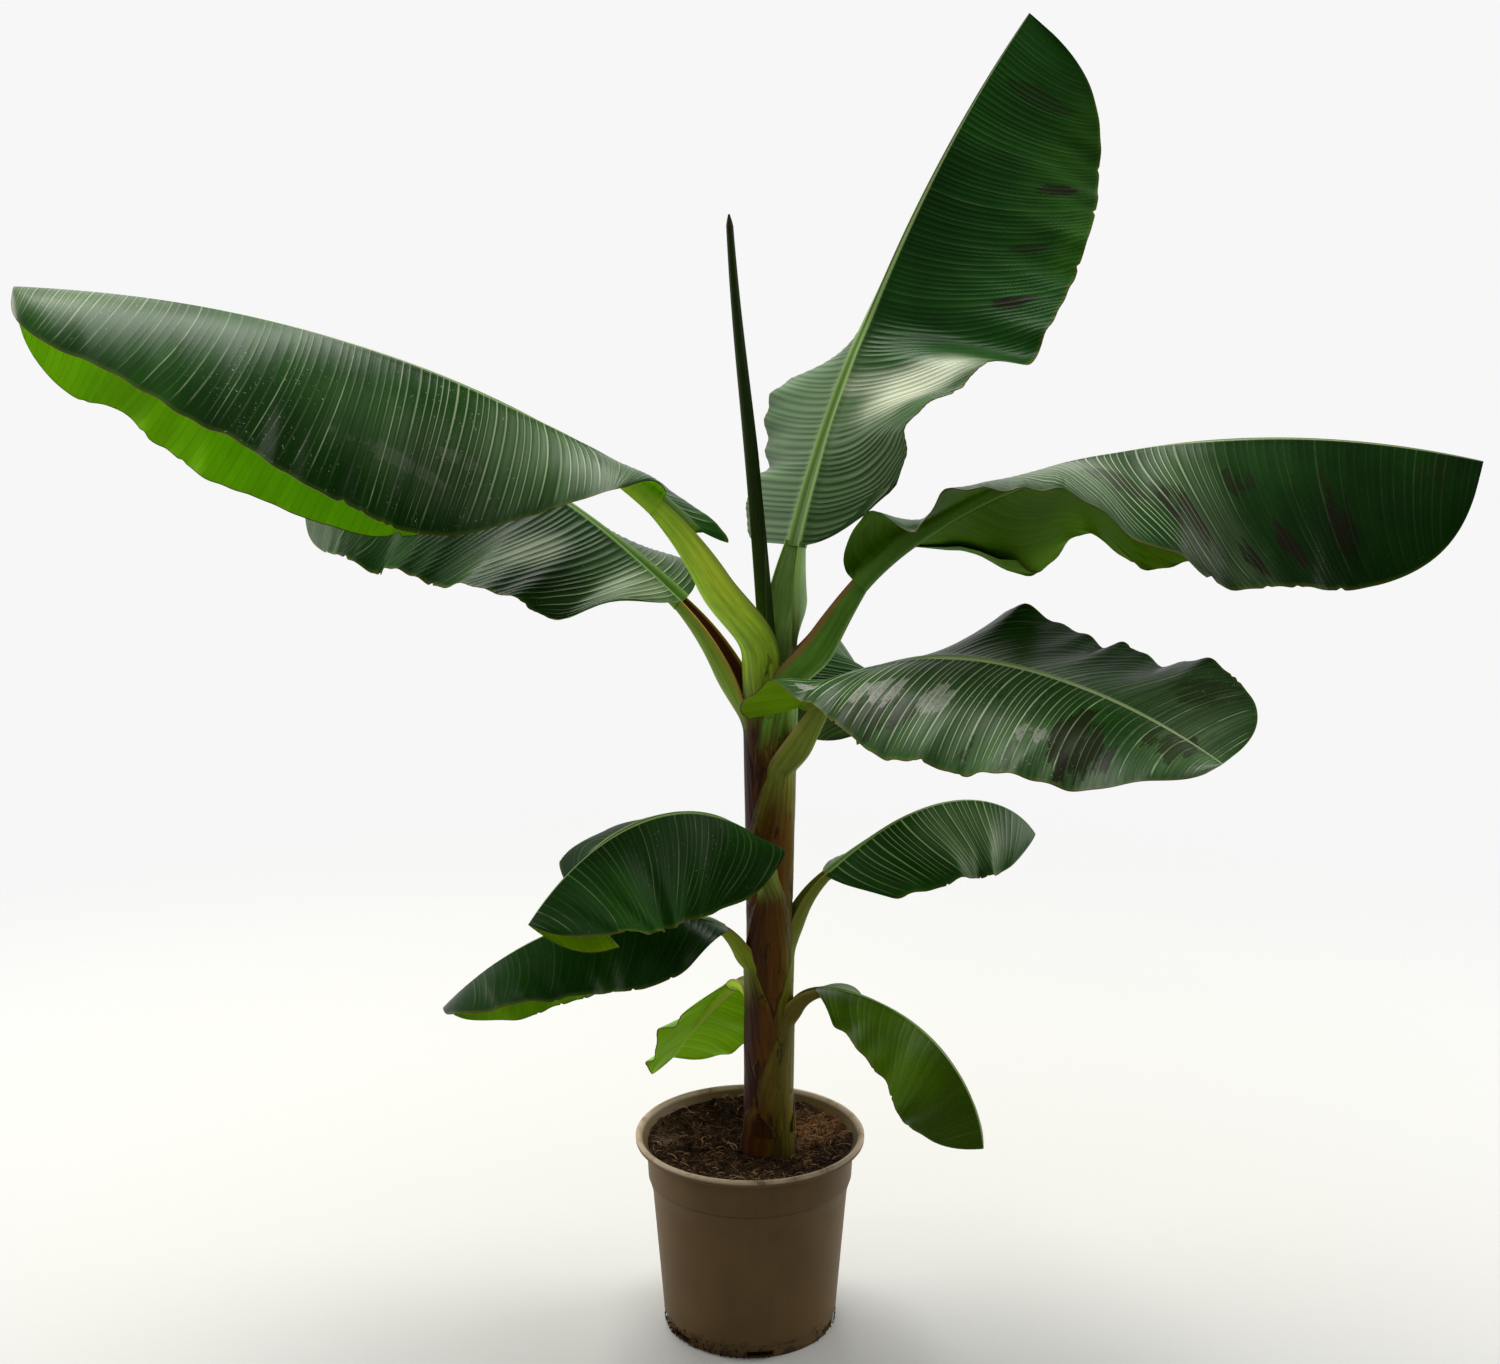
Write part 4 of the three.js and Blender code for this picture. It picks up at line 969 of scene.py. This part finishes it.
def potProfile():
    wall, lipFoot, ring = pot["wall"], pot["height"] - pot["lipHeight"], pot["baseRingHeight"]
    return rounded([
        (0, 0, 0),
        (pot["baseRadius"] - pot["baseRingInset"], 0, 0.0012),
        (bodyRadius(ring) - pot["baseRingInset"], ring, 0.0004),
        (bodyRadius(ring), ring + 0.0014, 0.0008),
        (pot["bodyTopRadius"], pot["bodyTop"], 0.006),
        (pot["collarFootRadius"] - 0.0006, pot["collarFoot"] - 0.0012, 0.0005),
        (pot["collarFootRadius"], pot["collarFoot"], 0.0006),
        (pot["collarTopRadius"], lipFoot - 0.001, 0.002),
        (pot["lipRadius"] - 0.0005, lipFoot, 0.0014),
        (pot["lipRadius"], pot["height"] - 0.002, 0.0012),
        (pot["lipRadius"] - 0.002, pot["height"], 0.0012),
        (pot["lipInside"], pot["height"], 0.0012),
        (pot["collarTopRadius"] - wall, pot["funnelFoot"], 0.002),
        (pot["collarFootRadius"] - wall, pot["collarFoot"], 0.001),
        (pot["bodyTopRadius"] - wall, pot["bodyTop"], 0.002),
        (bodyRadius(pot["floor"]) - wall, pot["floor"], 0.001),
        (0, pot["floor"], 0),
    ])


def potFinish():
    material, wire, shader = newFinish("mouldedPlastic", specular=0.18)
    place = objectPlace(wire)
    height = place.parts()[2]
    clouds = place.noise(14, 3)
    colour = clouds.step(0.3, 0.7).blend(plastic["dark"], plastic["light"])
    streaks = place.scaled((60, 60, 4)).noise(1, 4, 0.6)
    colour = colour.shade(streaks * 0.3 + 0.85)
    # pale scuffs and a painted highlight along the top of the lip
    scuffAndHighlight = height.step(*plastic["scuffAndHighlightHeight"]) * place.noise(45, 4, 0.6).step(0.2, 0.55)
    colour = (scuffAndHighlight * 0.85).blend(colour, plastic["scuffAndHighlight"])
    # painted shade: a thin dark line in the crease under the collar step
    line = height.step(*plastic["lineFoot"]) * (1 - height.step(*plastic["lineTop"]))  # under the collar
    colour = (line * place.noise(20, 2).step(0.3, 0.5) * 0.6).blend(colour, plastic["line"])
    splash = place.noise(70, 5, 0.65).step(0.52, 0.60) * (1 - height.step(*plastic["splashHeight"]))
    colour = (splash * 0.7).blend(colour, plastic["splash"])
    specks = place.noise(230, 3, 0.6).step(0.70, 0.74)
    colour = (specks * 0.6).blend(colour, plastic["speck"])
    fromAxis = place.scaled((1, 1, 0)).length()
    # painted shade: the insides of the drain notches are painted dark
    notchShade = 1 - fromAxis.step(*plastic["notchShadeRadius"])  # inside the drain notches
    colour = (notchShade * (1 - height.step(*plastic["notchShadeHeight"]))).blend(colour, plastic["notchShade"])
    colour.feed(shader, "Base Color")
    (clouds * 0.15 + streaks * 0.1 + 0.40).feed(shader, "Roughness")
    emboss(wire, shader, place.noise(900, 2) + clouds * 0.3, 0.12, 0.0003)
    return material


def potPiece(material):
    tree, ids, entry = newTree("potTurning", {
        "Sides": "NodeSocketInt", "Path Radius": "NodeSocketFloat", "Drains": "NodeSocketInt",
        "Drain Size": "NodeSocketVector"})
    start = entry["Geometry"]
    path = start.add("GeometryNodeCurvePrimitiveCircle", None,
                     {"Resolution": entry["Sides"], "Radius": entry["Path Radius"]})
    turned = start.add("GeometryNodeCurveToMesh", None, {"Curve": path, "Profile Curve": start})
    closed = turned.add("GeometryNodeMergeByDistance", None, {"Geometry": turned, "Distance": pot["weld"]})
    ring = start.add("GeometryNodeMeshCircle", None,
                     {"Vertices": entry["Drains"], "Radius": entry["Path Radius"]})
    notch = start.add("GeometryNodeMeshCube", None, {"Size": entry["Drain Size"]})
    number = start.add("GeometryNodeInputIndex")
    angle = start.add("ShaderNodeCombineXYZ", None, {"Z": number * 2 * pi / entry["Drains"]})
    notches = ring.add("GeometryNodeInstanceOnPoints", None,
                       {"Points": ring, "Instance": notch, "Rotation": angle})
    notches = notches.add("GeometryNodeRealizeInstances", None, {"Geometry": notches})
    notches = notches.add("GeometryNodeTransform", None, {
        "Geometry": notches, "Translation": (0, 0, pot["drainMiddle"]),
        "Rotation": (0, 0, radians(pot["drainTurn"]))})
    cut = closed.add("GeometryNodeMeshBoolean", {"operation": "DIFFERENCE"},
                     {"Mesh 1": closed, "Mesh 2": notches})
    endTree(cut, material)
    profile = bpy.data.curves.new("potProfile", "CURVE")
    spline = profile.splines.new("POLY")
    points = potProfile() * [1, -1] - [pot["baseRadius"], 0]
    spline.points.add(len(points) - 1)
    for corner, (x, y) in zip(spline.points, points):
        corner.co = (x, y, 0, 1)
    piece = grown("potShell", profile, tree, ids, {
        "Sides": pot["sides"], "Path Radius": pot["baseRadius"], "Drains": pot["drains"],
        "Drain Size": (pot["drainDepth"], pot["drainWidth"], pot["drainHeight"])})
    piece.data.polygons.foreach_set("use_smooth", np.ones(len(piece.data.polygons), bool))
    piece.data.set_sharp_from_angle(angle=radians(pot["sharp"]))
    return piece


dress(potPiece(potFinish()), "pot", [], "pot")
print("pot")


# Soil: a lumpy bed, with crumbs and coir fibres lying on it

soil = {
    "top": 0.2135, "edgeRise": 0.0145, "flatRadius": 0.055, "radius": 0.1222, "middleRadius": 0.002,
    "depth": 0.022, "footRadius": 0.117, "rings": 76, "sectors": 230, "seed": 21,
    "lumps": 560, "lumpSize": (0.003, 0.010), "lumpHeight": (-0.0016, 0.0028),
    "moundHeight": 0.004, "moundReach": 0.05,
}


def soilGrid():
    chance = np.random.default_rng(soil["seed"])
    turn, radius = np.meshgrid(np.linspace(0, 2 * pi, soil["sectors"], endpoint=False),
                               np.linspace(soil["radius"], soil["middleRadius"], soil["rings"]))
    x, y = radius * np.cos(turn), radius * np.sin(turn)
    outwards = (radius - soil["flatRadius"]) / (soil["radius"] - soil["flatRadius"])
    height = soil["top"] + soil["edgeRise"] * smooth(outwards)
    fromStem = (x - stem["x"]) ** 2 + y ** 2
    height = height + soil["moundHeight"] * np.exp(-fromStem / soil["moundReach"] ** 2)
    tone, weight = np.zeros_like(x), np.full_like(x, 1e-6)
    for _ in range(soil["lumps"]):
        reach, angle = soil["radius"] * np.sqrt(chance.uniform()), chance.uniform(0, 2 * pi)
        size, rise = chance.uniform(*soil["lumpSize"]), chance.uniform(*soil["lumpHeight"])
        near = np.exp(-((x - reach * np.cos(angle)) ** 2 + (y - reach * np.sin(angle)) ** 2) / size ** 2)
        height, tone, weight = height + rise * near, tone + near * chance.uniform(), weight + near
    return np.stack([x, y, height], -1), tone / weight


def soilPiece(bed, clump):
    foot = bed[0] * (soil["footRadius"] / soil["radius"])
    foot[:, 2] = soil["top"] - soil["depth"]
    points, walls, caps = tube(np.concatenate([foot[None], bed]))
    clumps = np.concatenate([clump[0], clump.ravel(), [0.5, 0.5]])  # foot, bed and the middles of both ends
    return meshPiece("soilBed", points, [walls, caps], places={"clump": clumps}, sharp=80)


peat = {
    "dark": (0.005, 0.003, 0.002), "mid": (0.058, 0.028, 0.012),
    "coir": (0.340, 0.160, 0.060), "coirPlace": (0.078, 0.035), "coirReach": 0.05,
    "ash": (0.190, 0.140, 0.095), "ashPlace": (-0.098, 0.01), "ashReach": 0.03,
    "darkFibre": (0.016, 0.008, 0.003), "paleFibre": (0.520, 0.290, 0.135),
}


def groundTint(wire, tone):
    # peat that turns to coir in one corner and to pale ash at one edge
    place = objectPlace(wire)
    x, y, _ = place.parts()
    grain = place.noise(260, 5, 0.65)
    colour = (tone * 0.6 + grain * 0.6).step(0.25, 0.95).blend(peat["dark"], peat["mid"])
    for tint in ("coir", "ash"):
        (across, back), reach = peat[tint + "Place"], peat[tint + "Reach"]
        apart = wire.calc("SQRT", (x - across) * (x - across) + (y - back) * (y - back))
        patch = 1 - (apart + place.noise(60, 3) * 0.05).step(reach * 0.6, reach * 1.7)
        colour = (patch * grain.step(0.35, 0.6) * 0.8).blend(colour, peat[tint])
    return place, grain, colour


def soilFinish(name, toneName):
    material, wire, shader = newFinish(name, specular=0.08)
    place, grain, colour = groundTint(wire, attribute(wire, toneName, "Fac"))
    colour.feed(shader, "Base Color")
    (grain * 0.3 + 0.65).feed(shader, "Roughness")
    emboss(wire, shader, grain + place.noise(900, 3), 0.8, 0.0012)
    return material


bed, clump = soilGrid()
dress(soilPiece(bed, clump), "soil", [soilFinish("peat", "clump")], "soil")


# Litter on the soil and dirt on the pot, strewn over a surface

litter = {
    "crumbs": {"density": 60000, "smallest": 0.0007, "largest": 0.0030, "seed": 3},
    "fibres": {"density": 34000, "smallest": 0.004, "largest": 0.019, "seed": 8, "lift": 0.0006},
    "dirt": {"density": 260000, "smallest": 0.0003, "largest": 0.0015, "seed": 5},
}


def strewTree(name, fibrous, material):
    tree, ids, entry = newTree(name, {
        "Density": "NodeSocketFloat", "Smallest": "NodeSocketFloat", "Largest": "NodeSocketFloat",
        "Seed": "NodeSocketInt"})
    start = entry["Geometry"]
    amount = start.add("GeometryNodeInputNamedAttribute", {"data_type": "FLOAT"}, {"Name": "amount"})
    points = start.add("GeometryNodeDistributePointsOnFaces", None, {
        "Mesh": start, "Density": amount * entry["Density"], "Seed": entry["Seed"]})
    if fibrous:
        bow = start.add("GeometryNodeCurveQuadraticBezier", None, {
            "Resolution": 6, "Start": (-0.5, 0, 0), "Middle": (0.1, 0.32, 0.16), "End": (0.5, -0.06, 0.02)})
        round3 = start.add("GeometryNodeCurvePrimitiveCircle", None, {"Resolution": 3, "Radius": 0.018})
        shape = start.add("GeometryNodeCurveToMesh", None,
                          {"Curve": bow, "Profile Curve": round3, "Fill Caps": True})
        turns = {0: (-0.35, -0.35, 0.0), 1: (0.35, 0.35, 2 * pi)}
        stretches = {0: (0.8, 0.4, 0.8), 1: (1.2, 1.5, 1.2)}
    else:
        shape = start.add("GeometryNodeMeshIcoSphere", None, {"Radius": 1.0, "Subdivisions": 1})
        turns = {0: (0.0, 0.0, 0.0), 1: (2 * pi, 2 * pi, 2 * pi)}
        stretches = {0: (0.7, 0.5, 0.4), 1: (1.3, 1.0, 0.8)}
    turn = start.add("FunctionNodeRandomValue", {"data_type": "FLOAT_VECTOR"},
                     {**turns, "Seed": entry["Seed"] + 1})
    size = start.add("FunctionNodeRandomValue", {"data_type": "FLOAT"},
                     {2: entry["Smallest"], 3: entry["Largest"], "Seed": entry["Seed"] + 2}, 1)
    uneven = start.add("FunctionNodeRandomValue", {"data_type": "FLOAT_VECTOR"},
                       {**stretches, "Seed": entry["Seed"] + 3})
    sizes = start.add("ShaderNodeVectorMath", {"operation": "SCALE"}, {0: uneven, "Scale": size})
    grains = points.add("GeometryNodeInstanceOnPoints", None,
                        {"Points": points, "Instance": shape, "Rotation": turn, "Scale": sizes})
    tone = start.add("FunctionNodeRandomValue", {"data_type": "FLOAT"}, {"Seed": entry["Seed"] + 4}, 1)
    toned = grains.add("GeometryNodeStoreNamedAttribute", {"data_type": "FLOAT", "domain": "INSTANCE"},
                       {"Geometry": grains, "Name": "tone", "Value": tone})
    endTree(toned, material)
    return tree, ids


def strewn(name, kind, fibrous, points, quads, amount, material):
    ground = bpy.data.meshes.new(name + "_ground")
    ground.from_pydata([tuple(point) for point in points], [], [tuple(quad) for quad in quads])
    ground.attributes.new("amount", "FLOAT", "POINT").data.foreach_set("value", amount.astype(np.float32))
    tree, ids = strewTree(name, fibrous, material)
    values = litter[kind]
    piece = grown(name, ground, tree, ids, {
        "Density": values["density"], "Smallest": values["smallest"], "Largest": values["largest"],
        "Seed": values["seed"]})
    dress(piece, "soil", [])
    print(name + ":", len(piece.data.polygons), "faces")


def ringQuads(rows, columns):  # faces between rings of points
    index = np.arange(rows * columns).reshape(rows, columns)
    index = np.concatenate([index, index[:, :1]], 1)
    return np.stack([index[:-1, :-1], index[:-1, 1:], index[1:, 1:], index[1:, :-1]], -1).reshape(-1, 4)


def fibreFinish():
    material, wire, shader = newFinish("coirFibre", specular=0.10)
    tone = attribute(wire, "tone", "Fac")
    colour = tone.step(0.55, 1.0).blend(peat["darkFibre"], peat["paleFibre"])
    colour.shade(objectPlace(wire).noise(400, 3) * 0.8 + 0.6).feed(shader, "Base Color")
    (tone * 0.2 + 0.6).feed(shader, "Roughness")
    return material


inside = bed[2:]  # the two outermost rings stay bare
apart = np.hypot(inside[..., 0] - stem["x"], inside[..., 1])
clear = (apart > stem["radius"] + stem["flare"]).astype(float).ravel()
bedPoints, bedQuads = inside.reshape(-1, 3), ringQuads(*inside.shape[:2])
crumbPeat = soilFinish("peatCrumb", "tone")
strewn("soilCrumbs", "crumbs", False, bedPoints, bedQuads, clear, crumbPeat)
fibrePoints = bedPoints + [0, 0, litter["fibres"]["lift"]]
strewn("coirFibres", "fibres", True, fibrePoints, bedQuads, clear, fibreFinish())

footBand = {
    "rings": 8, "sectors": 120, "low": 0.0012, "high": 0.020, "fade": 0.021,
    "thickTurn": 3.75, "thickSpread": 0.55, "thickAmount": 1.6, "thickFade": 0.0215,  # the left of the front
}
turn, height = np.meshgrid(np.linspace(0, 2 * pi, footBand["sectors"], endpoint=False),
                           np.linspace(footBand["low"], footBand["high"], footBand["rings"]))
radius = bodyRadius(height)
foot = np.stack([radius * np.cos(turn), radius * np.sin(turn), height], -1).reshape(-1, 3)
patchy = np.clip(np.sin(turn * 3 + 1) + np.sin(turn * 7) * 0.6 + 0.6, 0, 1)
patchy = patchy * (1 - height / footBand["fade"]) ** 2
thick = np.exp(-((turn - footBand["thickTurn"]) / footBand["thickSpread"]) ** 2)
thick = thick * (0.7 + 0.3 * np.sin(turn * 23) * np.sin(turn * 9))
patchy = np.maximum(patchy, footBand["thickAmount"] * thick * (1 - height / footBand["thickFade"]))
strewn("footDirt", "dirt", False, foot, ringQuads(*turn.shape), patchy.ravel(), crumbPeat)
